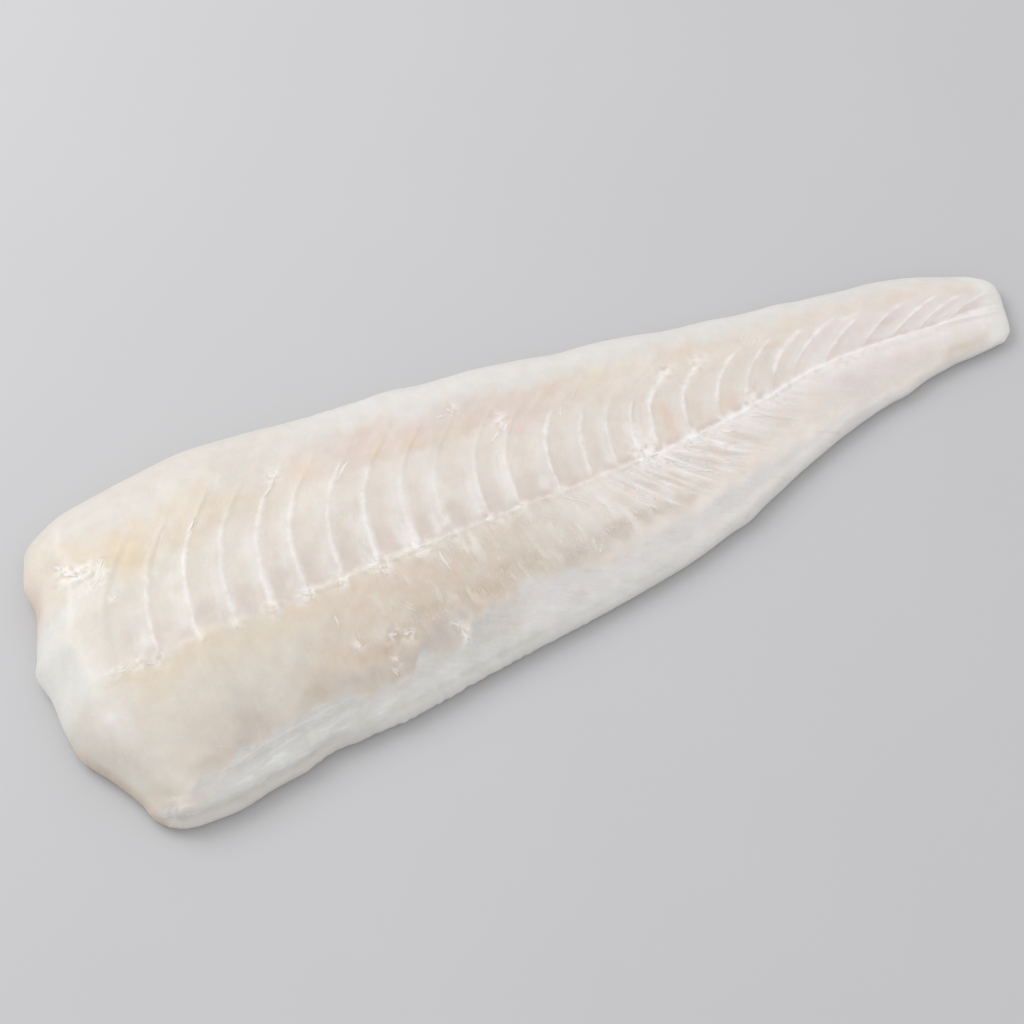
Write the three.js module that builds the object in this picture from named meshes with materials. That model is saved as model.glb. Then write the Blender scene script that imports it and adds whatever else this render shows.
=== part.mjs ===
// A raw cod fillet, skinned and boned, lying on its skin side with the inner face up.
// The head was cut off at the -X end and the tail fin at the +X end. The back of the fish is
// towards +Y, where the flesh is thickest, and the belly towards -Y. All sizes are millimetres.
import * as THREE from "three";
import { ParametricGeometry } from "three/addons/geometries/ParametricGeometry.js";
import { mergeGeometries, mergeVertices } from "three/addons/utils/BufferGeometryUtils.js";

// Plan: y of the two long edges and of the centre line, where the backbone lay, at stations x.
const BACK_EDGE = [
  [-230, 62.5], [-184, 74.5], [-138, 81.5], [-46, 80], [46, 75], [138, 66], [184, 63], [230, 50.5],
];
const CENTRE_LINE = [
  [-230, -19], [-184, -17.5], [-138, -13], [-46, -3.5], [46, 5], [92, 13], [138, 25], [184, 29],
  [230, 27.5],
];
const BELLY_EDGE = [
  [-230, -62], [-184, -84.5], [-138, -76], [-46, -60.7], [46, -42.7], [92, -26], [138, -6.2],
  [184, 7], [230, 14.5],
];

// The knife's cuts: x of each end at places across, from -1 at the belly edge through 0 on the
// centre line to 1 at the back edge.
const HEAD_CUT = [
  [-1, -197], [-0.95, -202], [-0.85, -204.5], [-0.7, -211], [-0.5, -221], [-0.4, -223.5],
  [-0.15, -225.6], [0.1, -226.8], [0.26, -230], [0.36, -227.5], [0.6, -222.5], [0.76, -224],
  [0.88, -221.5], [0.95, -219.3], [1, -213.5],
];
const TAIL_CUT = [
  [-1, 226.5], [-0.8, 230.3], [-0.5, 232], [0, 233.3], [0.5, 235.3], [0.8, 234], [1, 226.5],
];

// Soft swells and hollows of the long edges: [x, how far it stands out, half length].
const BACK_SWELLS = [
  [-142, 0.9, 14], [-90, -1.2, 18], [-48, 1.2, 10], [-8, 1.0, 14], [29, -1.2, 11],
  [82, -1.3, 15], [113, -0.6, 8], [136, 0.9, 7], [167, -0.8, 9], [201, 0.7, 12],
];
const BELLY_SWELLS = [
  [-192, 0.7, 6], [-177, -0.7, 7], [-140, 1.1, 8], [-123, -1.4, 8], [-89, 1.4, 10],
  [-72, 0.9, 10], [81, 1.3, 7], [110, -0.5, 12], [173, 1.0, 7], [188, -0.5, 8], [201, -0.7, 6],
];

// Height of the inner face along three lines: the thick loin, the centre line and the flank.
const LOIN_AT = 0.5;
const FLANK_AT = -0.82;
const LOIN_HEIGHT = [[-230, 27], [-138, 32], [0, 26], [138, 15], [230, 9]];
const CENTRE_HEIGHT = [[-230, 24], [-160, 28.5], [0, 22.5], [138, 13.5], [230, 8.5]];
const FLANK_HEIGHT = [[-230, 11], [-150, 11.5], [0, 9], [138, 7.6], [230, 7]];
const STRAIGHT_SHARE = 0.6; // how much of the fall to the flank is straight, the rest an even S

// Round edges: a radius for thin flesh, what full thickness adds to it, and the powers that shape
// the rise. A bulge of 2 with a steep of 0.5 is a quarter ellipse, a steep nearer 1 a slanted cut.
const FULL_THICKNESS = 30;
const BACK_ROUND = { thin: 8, thick: 14, bulge: 2, steep: 0.5 };
const BELLY_ROUND = { thin: 2, thick: 9, bulge: 2, steep: 0.5 };
const HEAD_ROUND = { thin: 8, thick: 13, bulge: 1.6, steep: 0.72 };
const TAIL_ROUND = { thin: 9, thick: 0, bulge: 2, steep: 0.5 };
const WIDEST_ROUND = 0.9; // a round edge's largest share of the half width
const WIDEST_AT = { thin: 3.5, thick: 3.5 }; // height above the table at which the rim is widest
const TUCK_SHARE = 0.8; // how far the rim turns in below that, as a share of its height

// White walls between the muscle blocks: where they stand on the centre line, from the head on.
const WALL_FEET = [
  -179, -161.5, -145, -128.5, -113.5, -96.5, -80, -62.5, -47, -28.5, -14, 4.5, 20.5, 33, 45, 54,
  70, 86, 100, 113, 124, 141, 160, 175.5, 189, 202,
];
const WALL_COUNT = [[-227, -2.5], ...WALL_FEET.map((foot, count) => [foot, count]), [234.5, 26.5]];
// Towards either edge each wall leans to the tail by reach times (place across) to the power bend.
const BACK_REACH = [[-230, 95], [0, 100], [60, 120], [130, 75], [230, 60]];
const BACK_BEND = [[-230, 3], [60, 3.2], [100, 2.2], [130, 1.4], [230, 1.1]];
const BELLY_REACH = [
  [-230, 10], [-100, 10], [-30, 14], [5, 28], [25, 44], [50, 54], [80, 52], [140, 45], [230, 30],
];
const BELLY_BEND = 1;
const LEAN_FADES_FROM = 0.55;
const LEAN_LOST = 0.75;
const LEAN_TRIES = 4; // how often the foot of the wall that leans to a place is made good
const WALL_FREE_HEAD = 60; // length at each end where the mesh turns to follow the cut
const WALL_FREE_TAIL = 70;

// Relief of the inner face.
const FLAKE_STEP = 0.5; // each block rises to the wall behind it and drops by this much past it
const FLAKE_DROP = 0.25; // share of a block over which it drops
const BELLY_FLAKE_SHARE = 0.35;
const FLAKES_RISE_OVER = 0.08; // share of the half width beside the centre line
const FLAKES_END = { at: 0.72, sooner: 0.22, from: -20, over: 60 }; // sooner towards the tail
const FLAKES_FADE_OVER = 0.2;
const TAIL_FLAKES = { from: 40, over: 60, share: 0.4 }; // the flakes are lower towards the tail
const CENTRE_GROOVE = { depth: 0.35, width: 4, from: -150, over: 80 };
const HEAD_LIP = { height: 0.9, at: 17, width: 5 }; // the swollen edge of the head's cut

// The silver lining that is left on the belly flank, a thin sheet: [x, place across] of its border.
const LINING_EDGE = [
  [-230, -0.9], [-200, -0.89], [-192, -0.85], [-180, -0.78], [-166, -0.74], [-148, -0.7],
  [-125, -0.7], [-112, -0.72], [-98, -0.77], [-85, -0.75], [-75, -0.67], [-66, -0.74], [-58, -0.75],
  [-52, -0.62], [-42, -0.59], [-30, -0.56], [-22, -0.5], [-10, -0.56], [5, -0.6], [20, -0.66],
  [230, -0.66],
];
const LINING = { thickness: 0.25, border: 0.025, from: -205, rises: 10, ends: 20, over: 60 };

// Fineness of the faceted surface.
const COLUMNS_PER_BLOCK = 4;
const HEAD_COLUMNS = 5;
const TAIL_COLUMNS = 4;
const EDGE_ROWS = 5;
const BELLY_ROWS = 9;
const BACK_ROWS = 13;
const RIM_RINGS = 2;
const FIRST_WALL = -1; // the columns stand in step with the walls between these two
const LAST_WALL = 25;
const TAIL_COLUMNS_REACH = 0.9;
const BORDER_SPAN = 2; // points either side that give the border's direction

const smooth = (t) => THREE.MathUtils.smoothstep(t, 0, 1);
const grows = (size, thickness) => size.thin + (size.thick * thickness) / FULL_THICKNESS;
const bell = (offset, width) => Math.exp(-((offset / width) ** 2));

// A smooth curve through stations [x, y]: a cubic between neighbours, whose slope at each station
// is that of the line joining the stations on either side.
function through(stations, x) {
  const last = stations.length - 1;
  let i = 0;
  while (i < last - 1 && x > stations[i + 1][0]) i += 1;
  const slope = (k) => {
    const [a, b] = [stations[Math.max(k - 1, 0)], stations[Math.min(k + 1, last)]];
    return (b[1] - a[1]) / (b[0] - a[0]);
  };
  const [x0, y0] = stations[i];
  const [x1, y1] = stations[i + 1];
  const span = x1 - x0;
  const s = THREE.MathUtils.clamp((x - x0) / span, -0.2, 1.2);
  return (
    (1 + 2 * s) * (1 - s) ** 2 * y0 +
    s * (1 - s) ** 2 * span * slope(i) +
    s * s * (3 - 2 * s) * y1 +
    s * s * (s - 1) * span * slope(i + 1)
  );
}

const swell = (swells, x) => swells.reduce((sum, [at, size, width]) => sum + size * bell(x - at, width), 0);

// Half width of the fillet from the centre line to the back edge or to the belly edge.
function widthTo(side, x) {
  const centre = through(CENTRE_LINE, x);
  if (side > 0) return through(BACK_EDGE, x) + swell(BACK_SWELLS, x) - centre;
  return centre - through(BELLY_EDGE, x) + swell(BELLY_SWELLS, x);
}

// 0 at an edge, rising to 1 at the radius from it.
function roundEdge(distance, size, thickness) {
  const s = THREE.MathUtils.clamp(distance / grows(size, thickness), 0, 1);
  return Math.max(1 - (1 - s) ** size.bulge, 0) ** size.steep;
}

// How far towards the tail the wall from this foot has leant at a place across.
function lean(foot, across) {
  const out = Math.abs(across);
  const kept = 1 - LEAN_LOST * smooth((out - LEAN_FADES_FROM) / (1 - LEAN_FADES_FROM));
  if (across < 0) return through(BELLY_REACH, foot) * out ** BELLY_BEND * kept;
  return through(BACK_REACH, foot) * out ** through(BACK_BEND, foot) * kept;
}

// The place on the centre line whose wall leans to this point.
function footOf(x, across) {
  let foot = x;
  for (let i = 0; i < LEAN_TRIES; i += 1) foot = x - lean(foot, across);
  return foot;
}

// Height of the inner face before its edges are rounded.
function plainHeight(x, across) {
  const centre = through(CENTRE_HEIGHT, x);
  const toLoin = smooth(across / LOIN_AT);
  const toFlank = THREE.MathUtils.clamp(across / FLANK_AT, 0, 1);
  return (
    centre +
    (through(LOIN_HEIGHT, x) - centre) * toLoin +
    (through(FLANK_HEIGHT, x) - centre) *
      (STRAIGHT_SHARE * toFlank + (1 - STRAIGHT_SHARE) * smooth(toFlank))
  );
}

// Relief of the flakes, the groove on the centre line, the belly's lining and the lip of the
// head's cut.
function relief(x, across) {
  const count = through(WALL_COUNT, footOf(x, across));
  const past = count - Math.floor(count);
  const rise = past < FLAKE_DROP ? 1 - past / FLAKE_DROP : (past - FLAKE_DROP) / (1 - FLAKE_DROP);
  const out = Math.abs(across);
  const side = across < 0 ? BELLY_FLAKE_SHARE : 1;
  const tail = 1 - (1 - TAIL_FLAKES.share) * smooth((x - TAIL_FLAKES.from) / TAIL_FLAKES.over);
  const end = FLAKES_END.at - FLAKES_END.sooner * smooth((x - FLAKES_END.from) / FLAKES_END.over);
  const seen = smooth(out / FLAKES_RISE_OVER) * smooth((end - out) / FLAKES_FADE_OVER);
  const flakes = FLAKE_STEP * side * tail * seen * (rise - 0.5);
  const groove = CENTRE_GROOVE.depth * bell(across * widthTo(across, x), CENTRE_GROOVE.width);
  const lining = LINING.thickness * smooth((through(LINING_EDGE, x) - across) / LINING.border);
  const linedFrom = smooth((x - LINING.from) / LINING.rises);
  const linedTo = smooth((LINING.ends - x) / LINING.over);
  const lip = HEAD_LIP.height * bell(x - through(HEAD_CUT, across) - HEAD_LIP.at, HEAD_LIP.width);
  return (
    flakes -
    groove * smooth((x - CENTRE_GROOVE.from) / CENTRE_GROOVE.over) +
    lining * linedFrom * linedTo +
    lip
  );
}

const headStart = through(HEAD_CUT, 0);
const tailEnd = through(TAIL_CUT, 0);

// Where on the centre line each count of walls is reached.
const wallPlaces = WALL_COUNT.map(([foot, count]) => [count, foot]);

// The feet of the mesh's columns on the centre line: close together on the round ends, and then
// in step with the walls.
function columnFeet() {
  const feet = [];
  const headRadius = grows(HEAD_ROUND, FULL_THICKNESS);
  for (let i = 0; i < HEAD_COLUMNS; i += 1) {
    feet.push(headStart + headRadius * (1 - Math.cos((i / HEAD_COLUMNS) * (Math.PI / 2))));
  }
  for (let i = 0; i <= (LAST_WALL - FIRST_WALL) * COLUMNS_PER_BLOCK; i += 1) {
    feet.push(through(wallPlaces, FIRST_WALL + i / COLUMNS_PER_BLOCK));
  }
  const tailReach = TAIL_COLUMNS_REACH * (tailEnd - feet[feet.length - 1]);
  for (let i = TAIL_COLUMNS - 1; i >= 0; i -= 1) {
    feet.push(tailEnd - tailReach * (1 - Math.cos((i / TAIL_COLUMNS) * (Math.PI / 2))));
  }
  return feet;
}

// The mesh's rows across a column, from -1 at the belly edge to 1 at the back edge: close together
// on the round edges and evenly spaced between them, with one row on the centre line.
function rowsAcross(foot) {
  const rows = [];
  const edge = (side, size) =>
    Math.min(grows(size, plainHeight(foot, side)) / widthTo(side, foot), WIDEST_ROUND);
  const [bellyEdge, backEdge] = [edge(-1, BELLY_ROUND), edge(1, BACK_ROUND)];
  const turned = (i) => 1 - Math.cos((i / EDGE_ROWS) * (Math.PI / 2));
  for (let i = 0; i < EDGE_ROWS; i += 1) rows.push(-1 + bellyEdge * turned(i));
  for (let i = 0; i < BELLY_ROWS; i += 1) rows.push((bellyEdge - 1) * (1 - i / BELLY_ROWS));
  for (let i = 0; i < BACK_ROWS; i += 1) rows.push((1 - backEdge) * (i / BACK_ROWS));
  for (let i = EDGE_ROWS; i >= 0; i -= 1) rows.push(1 - backEdge * turned(i));
  return rows;
}

const feet = columnFeet();
const rows = feet.map(rowsAcross);
const LAST_COLUMN = feet.length - 1;
const LAST_ROW = rows[0].length - 1;

// A point of the inner face, on a column and a row of the mesh.
function facePoint(column, row, target) {
  const foot = feet[column];
  const across = rows[column][row];
  const [head, tail] = [through(HEAD_CUT, across), through(TAIL_CUT, across)];
  const fromHead = smooth((foot - headStart) / WALL_FREE_HEAD);
  const fromTail = smooth((tailEnd - foot) / WALL_FREE_TAIL);
  const cuts = (1 - fromHead) * (head - headStart) + (1 - fromTail) * (tail - tailEnd);
  const x = foot + fromHead * fromTail * lean(foot, across) + cuts;
  const width = widthTo(across, x);
  const thickness = plainHeight(x, across);
  const rounded =
    roundEdge((1 - across) * widthTo(1, x), BACK_ROUND, thickness) *
    roundEdge((1 + across) * widthTo(-1, x), BELLY_ROUND, thickness) *
    roundEdge(x - head, HEAD_ROUND, thickness) *
    roundEdge(tail - x, TAIL_ROUND, thickness);
  const widest = grows(WIDEST_AT, thickness);
  const top = thickness + relief(x, across) * rounded;
  return target.set(x, through(CENTRE_LINE, x) + across * width, widest + (top - widest) * rounded);
}

// The rim's points, once round the mesh's border, clockwise from above.
function rimPoints() {
  const points = [];
  const add = (column, row) => points.push(facePoint(column, row, new THREE.Vector3()));
  for (let row = 0; row < LAST_ROW; row += 1) add(0, row);
  for (let column = 0; column < LAST_COLUMN; column += 1) add(column, LAST_ROW);
  for (let row = LAST_ROW; row > 0; row -= 1) add(LAST_COLUMN, row);
  for (let column = LAST_COLUMN; column > 0; column -= 1) add(column, 0);
  return points;
}

const rim = rimPoints();

// A point of the rim below its widest line: it turns in under the fillet as a quarter ellipse.
function rimPoint(index, turn, target) {
  const count = rim.length;
  const here = rim[index % count];
  const before = rim[(index + count - BORDER_SPAN) % count];
  const after = rim[(index + BORDER_SPAN) % count];
  const inward = new THREE.Vector3(after.y - before.y, before.x - after.x, 0).normalize();
  const tuck = TUCK_SHARE * here.z * (1 - Math.cos(turn));
  return target.copy(here).addScaledVector(inward, tuck).setZ(here.z * (1 - Math.sin(turn)));
}

function innerFace() {
  const at = (u, v, target) => facePoint(Math.round(u * LAST_COLUMN), Math.round(v * LAST_ROW), target);
  return new ParametricGeometry(at, LAST_COLUMN, LAST_ROW);
}

function turnedRim() {
  const at = (u, v, target) => rimPoint(Math.round(u * rim.length), v * (Math.PI / 2), target);
  return new ParametricGeometry(at, rim.length, RIM_RINGS);
}

// The skin side lies flat on the table.
function skinSide() {
  const outline = rim.map((_, index) => rimPoint(index, Math.PI / 2, new THREE.Vector3()));
  const face = new THREE.ShapeGeometry(new THREE.Shape(outline.map((p) => new THREE.Vector2(p.x, p.y))));
  const index = face.getIndex();
  for (let i = 0; i < index.count; i += 3) {
    const [a, b] = [index.getX(i), index.getX(i + 1)];
    index.setX(i, b);
    index.setX(i + 1, a);
  }
  return face;
}

function filletGeometry() {
  const faces = [innerFace(), turnedRim(), skinSide()];
  faces.forEach((face) => {
    face.deleteAttribute("normal");
    face.deleteAttribute("uv");
  });
  const closed = mergeVertices(mergeGeometries(faces), 1e-4);
  closed.computeBoundingBox();
  const middle = closed.boundingBox.getCenter(new THREE.Vector3());
  closed.translate(-middle.x, -middle.y, -closed.boundingBox.min.z);
  closed.computeVertexNormals();
  return closed;
}

const flesh = new THREE.MeshStandardMaterial({ color: 0xe3dace, roughness: 0.35, metalness: 0 });
const fillet = new THREE.Mesh(filletGeometry(), flesh);
fillet.name = "cod_fillet";

const group = new THREE.Group();
group.add(fillet);
export default group;
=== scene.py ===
import math

import bpy
import numpy as np
from mathutils import Matrix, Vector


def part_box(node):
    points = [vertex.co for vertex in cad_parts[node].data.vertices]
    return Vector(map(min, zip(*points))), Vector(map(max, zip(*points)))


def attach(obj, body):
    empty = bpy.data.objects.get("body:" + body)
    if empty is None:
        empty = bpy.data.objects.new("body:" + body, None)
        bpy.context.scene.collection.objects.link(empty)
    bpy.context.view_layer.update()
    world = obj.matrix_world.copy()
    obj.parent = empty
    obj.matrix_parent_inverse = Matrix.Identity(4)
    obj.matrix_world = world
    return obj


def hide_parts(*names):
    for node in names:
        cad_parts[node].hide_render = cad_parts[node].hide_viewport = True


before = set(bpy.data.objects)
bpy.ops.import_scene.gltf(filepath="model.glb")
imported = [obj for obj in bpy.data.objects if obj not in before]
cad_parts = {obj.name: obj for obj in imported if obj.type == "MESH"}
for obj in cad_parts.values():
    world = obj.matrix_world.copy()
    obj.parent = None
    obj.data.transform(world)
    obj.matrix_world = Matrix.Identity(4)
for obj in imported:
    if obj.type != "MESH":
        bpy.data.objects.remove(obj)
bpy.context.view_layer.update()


# The fillet. One side of a cod was cut off the backbone with a long knife, from a slanted cut
# behind the head to a short cut before the tail fin, and then skinned and trimmed by hand, which
# left its two long edges softly uneven. Sizes are millimetres, up to the placing of the mesh.
#
# The plan: y of the long edges and of the centre line, where the backbone lay, at stations x, and
# x of the two cuts at places across, from -1 at the belly edge through 0 to 1 at the back edge.
BACK_EDGE = [(-230, 62.5), (-184, 74.5), (-138, 81.5), (-46, 80), (46, 75), (138, 66), (184, 63),
             (230, 50.5)]
CENTRE_LINE = [(-230, -19), (-184, -17.5), (-138, -13), (-46, -3.5), (46, 5), (92, 13), (138, 25),
               (184, 29), (230, 27.5)]
BELLY_EDGE = [(-230, -62), (-184, -84.5), (-138, -76), (-46, -60.7), (46, -42.7), (92, -26),
              (138, -6.2), (184, 7), (230, 14.5)]
HEAD_CUT = [(-1, -197), (-0.95, -202), (-0.85, -204.5), (-0.7, -211), (-0.5, -221),
            (-0.4, -223.5), (-0.15, -225.6), (0.1, -226.8), (0.26, -230), (0.36, -227.5),
            (0.6, -222.5), (0.76, -224), (0.88, -221.5), (0.95, -219.3), (1, -213.5)]
TAIL_CUT = [(-1, 226.5), (-0.8, 230.3), (-0.5, 232), (0, 233.3), (0.5, 235.3), (0.8, 234),
            (1, 226.5)]

# Soft swells and hollows of the long edges: the place along, how far it stands out and its half
# length. The middle of the fillet's length also has small notches.
BACK_SWELLS = [(-142, 0.9, 14), (-90, -1.2, 18), (-48, 1.2, 10), (-8, 1.0, 14), (29, -1.2, 11),
               (82, -1.3, 15), (113, -0.6, 8), (136, 0.9, 7), (167, -0.8, 9), (201, 0.7, 12)]
BELLY_SWELLS = [(-192, 0.7, 6), (-177, -0.7, 7), (-140, 1.1, 8), (-123, -1.4, 8), (-89, 1.4, 10),
                (-72, 0.9, 10), (81, 1.3, 7), (110, -0.5, 12), (173, 1.0, 7), (188, -0.5, 8),
                (201, -0.7, 6)]
NOTCH_LENGTH, NOTCHED_AT, NOTCHED_HALF = 5.5, -60, 75
BACK_NOTCHES, BELLY_NOTCHES = 0.1, 0.24


def through(stations, x):
    """A smooth curve through stations (x, y): a cubic between neighbours, whose slope at each
    station is that of the line joining the stations on either side. Past either end it runs on
    for a fifth of the last span and is level from there."""
    at, value = np.array(stations, float).T
    before = np.maximum(np.arange(len(at)) - 1, 0)
    after = np.minimum(np.arange(len(at)) + 1, len(at) - 1)
    slope = (value[after] - value[before]) / (at[after] - at[before])
    i = np.clip(np.searchsorted(at, x) - 1, 0, len(at) - 2)
    span = at[i + 1] - at[i]
    s = np.clip((x - at[i]) / span, -0.2, 1.2)
    return ((1 + 2 * s) * (1 - s) ** 2 * value[i] + s * (1 - s) ** 2 * span * slope[i]
            + s * s * (3 - 2 * s) * value[i + 1] + s * s * (s - 1) * span * slope[i + 1])


def smooth(t):
    """0 up to t = 0, 1 from t = 1, and an even S between them: 3 t squared less 2 t cubed."""
    t = np.clip(t, 0, 1)
    return t * t * (3 - 2 * t)


def bell(offset, width):
    """1 in the middle, falling off as e to the minus the square of offset over width."""
    return np.exp(-(offset / width) ** 2)


def ripples(x, y, length, seed, waves=9):
    """Soft unevenness of about -1 to 1: the sum of sine waves of random headings, with lengths
    from 0.7 to 1.6 times the one given, over the root of their number. Each use has a seed of
    its own."""
    draw = np.random.default_rng(seed)
    total = np.zeros(np.broadcast(x, y).shape)
    for _ in range(waves):
        heading, phase = draw.uniform(0, 2 * np.pi, 2)
        steps = 2 * np.pi / (length * draw.uniform(0.7, 1.6))
        total += np.sin(steps * (x * np.cos(heading) + y * np.sin(heading)) + phase)
    return total / math.sqrt(waves)


def width_to(side, x):
    """Half width from the centre line to the back edge where side is over 0, or else to the
    belly edge: the gap between the two curves plus that edge's swells and small notches."""
    centre = through(CENTRE_LINE, x)
    back = through(BACK_EDGE, x) - centre + sum(s * bell(x - at, w) for at, s, w in BACK_SWELLS)
    belly = centre - through(BELLY_EDGE, x) + sum(s * bell(x - at, w) for at, s, w in BELLY_SWELLS)
    notches = ripples(x, NOTCH_LENGTH * np.sign(side), NOTCH_LENGTH, 41)
    notches = notches * bell(x - NOTCHED_AT, NOTCHED_HALF)
    return np.where(side > 0, back + BACK_NOTCHES * notches, belly + BELLY_NOTCHES * notches)


# The thickness. The flesh is thickest in the loin, half way from the centre line to the back, and
# thins towards the belly flank and the tail. Its cut edges slump under their own weight into round
# rims, with a radius for thin flesh and what full thickness adds to it, and they tuck in a little
# below their widest line.
LOIN_AT, FLANK_AT, STRAIGHT_SHARE = 0.5, -0.82, 0.6
LOIN_HEIGHT = [(-230, 27), (-138, 32), (0, 26), (138, 15), (230, 9)]
CENTRE_HEIGHT = [(-230, 24), (-160, 28.5), (0, 22.5), (138, 13.5), (230, 8.5)]
FLANK_HEIGHT = [(-230, 11), (-150, 11.5), (0, 9), (138, 7.6), (230, 7)]
FULL_THICKNESS = 30
BACK_ROUND = {"thin": 8, "thick": 14, "bulge": 2, "steep": 0.5}
BELLY_ROUND = {"thin": 2, "thick": 9, "bulge": 2, "steep": 0.5}
HEAD_ROUND = {"thin": 8, "thick": 13, "bulge": 1.6, "steep": 0.72}
TAIL_ROUND = {"thin": 9, "thick": 0, "bulge": 2, "steep": 0.5}
WIDEST_AT = {"thin": 3.5, "thick": 3.5}
TUCK_SHARE = 0.8


def grows(size, thickness):
    """A size for thin flesh, plus what full thickness adds to it in proportion."""
    return size["thin"] + size["thick"] * thickness / FULL_THICKNESS


def plain_height(x, across):
    """Height of the inner face before its edges are rounded: from the centre line it swells to
    the loin as an even S, and falls to the flank partly in a line and partly as an S."""
    centre = through(CENTRE_HEIGHT, x)
    to_flank = np.clip(across / FLANK_AT, 0, 1)
    fallen = STRAIGHT_SHARE * to_flank + (1 - STRAIGHT_SHARE) * smooth(to_flank)
    return (centre + (through(LOIN_HEIGHT, x) - centre) * smooth(across / LOIN_AT)
            + (through(FLANK_HEIGHT, x) - centre) * fallen)


def round_edge(distance, size, thickness):
    """0 at an edge, rising to 1 at the radius from it: one less the power bulge of what is left
    of the radius, to the power steep. Powers of 2 and 0.5 make a quarter ellipse, and a steep
    nearer 1 makes a slanted cut."""
    s = np.clip(distance / grows(size, thickness), 0, 1)
    return np.maximum(1 - (1 - s) ** size["bulge"], 0) ** size["steep"]


# The muscle blocks. A cod's side is a row of thin blocks, parted by white walls that stand on the
# centre line and lean to the tail towards either edge. On the cut face each block rises a little
# to the wall behind it and drops past it, like shingles.
#
# Each wall: its foot on the centre line, how plainly its line shows, where across the line starts
# and ends, its half width, how much white haze stands round it, partly painted light, and by what
# share it is wider at its upper end.
WALLS = [(-179, 0.6, 0.0, 0.42, 1.0, 0.4, 0), (-161.5, 0.8, 0.02, 0.56, 1.0, 0.5, 0.3),
         (-145, 0.7, 0.02, 0.5, 1.1, 0.7, 0.2), (-128.5, 0.7, 0.03, 0.6, 1.4, 0.9, 0.3),
         (-113.5, 0.8, 0.02, 0.47, 1.4, 0.8, 0.2), (-96.5, 0.7, 0.02, 0.56, 1.0, 0.6, 0.6),
         (-80, 0.9, 0.02, 0.45, 1.0, 1.0, 0.3), (-62.5, 0.6, 0.03, 0.4, 1.3, 1.0, 0.2),
         (-47, 0.4, 0.05, 0.4, 2.0, 1.0, 0.3), (-28.5, 0.25, 0.03, 0.52, 1.4, 0.9, 0.6),
         (-14, 0.35, 0.05, 0.38, 1.8, 1.0, 0.3), (4.5, 0.9, 0.04, 0.47, 0.9, 0.7, 0.7),
         (20.5, 0.7, 0.05, 0.38, 1.0, 0.7, 0.2), (33, 0.4, 0.05, 0.36, 1.1, 0.7, 0.3),
         (45, 1.0, 0.03, 0.3, 1.8, 0.8, 0.6), (54, 0.9, 0.1, 0.55, 1.1, 0.4, 1.2),
         (70, 0.9, 0.14, 0.55, 1.1, 0.5, 1.3), (86, 0.8, 0.16, 0.54, 1.0, 0.4, 0.5),
         (100, 0.8, 0.08, 0.52, 1.0, 0.4, 0.4), (113, 0.9, 0.16, 0.5, 1.1, 0.4, 1.1),
         (124, 0.9, 0.2, 0.54, 1.1, 0.4, 0.9), (141, 0.7, 0.16, 0.46, 1.2, 0.6, 0.6),
         (160, 0.9, 0.14, 0.46, 1.4, 0.6, 0.6), (175.5, 1.0, 0.1, 0.46, 1.4, 0.6, 0.6),
         (189, 0.9, 0.1, 0.46, 1.4, 0.6, 0.6), (202, 0.8, 0.12, 0.44, 1.3, 0.6, 0.6)]
WALL_FEET = [wall[0] for wall in WALLS]
WALL_COUNT = [(-227, -2.5), *zip(WALL_FEET, range(len(WALLS))), (234.5, 26.5)]
BACK_REACH = [(-230, 95), (0, 100), (60, 120), (130, 75), (230, 60)]
BACK_BEND = [(-230, 3), (60, 3.2), (100, 2.2), (130, 1.4), (230, 1.1)]
BELLY_REACH = [(-230, 10), (-100, 10), (-30, 14), (5, 28), (25, 44), (50, 54), (80, 52), (140, 45),
               (230, 30)]
BELLY_BEND = 1
LEAN_FADES_FROM, LEAN_LOST, LEAN_TRIES = 0.55, 0.75, 4

# The relief of the cut face. Every part that is seen only along some of the fillet grows over a
# length from a station on.
FLAKE_STEP, FLAKE_DROP, FLAKE_CURVE, BELLY_FLAKE_SHARE = 0.3, 0.12, 1.6, 0.35
FLAKES_RISE_OVER, FLAKES_FADE_OVER = 0.08, 0.2
FLAKES_EVEN, FLAKES_VARY, FLAKES_VARY_OVER = 0.8, 0.3, 60
FLAKES_END = {"at": 0.72, "sooner": 0.22, "from": -20, "over": 60}
TAIL_FLAKES = {"share": 0.4, "from": 40, "over": 60}
WALL_THREAD = {"height": 0.15, "width": 0.9, "block": 15}
CENTRE_GROOVE = {"depth": 0.35, "width": 4, "thread": 0.9, "from": -150, "over": 80}
RIDGE = {"height": 0.5, "width": 1.8, "from": 130, "over": 40}
RIDGE_GROOVE = {"depth": 0.35, "width": 1, "off": 2.6}
RIDGE_AT = [(-230, 0), (120, 0), (150, -1), (170, -1.2), (196, -1.2), (208, 0.6), (222, 1.6),
            (235, 1.6)]
HEAD_LIP = {"height": 0.9, "width": 5, "at": 17}
UNEVENNESS = [(0.4, 45, 1), (0.12, 11, 2)]

# The silver lining that is left on the belly flank, a thin sheet, and its frayed border at
# stations x.
LINING = {"thickness": 0.25, "border": 0.025, "frayed": 0.02, "from": -205, "over": 10}
LINING_FRAY_LENGTH = 9
LINING_THINS = {"from": -40, "over": 60}
LINING_EDGE = [(-230, -0.9), (-200, -0.89), (-192, -0.85), (-180, -0.78), (-166, -0.74),
               (-148, -0.7), (-125, -0.7), (-112, -0.72), (-98, -0.77), (-85, -0.75), (-75, -0.67),
               (-66, -0.74), (-58, -0.75), (-52, -0.62), (-42, -0.59), (-30, -0.56), (-22, -0.5),
               (-10, -0.56), (5, -0.6), (20, -0.66), (45, -0.62), (70, -0.62), (100, -0.67),
               (130, -0.76), (160, -0.88), (200, -1.1), (230, -1.2)]


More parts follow.
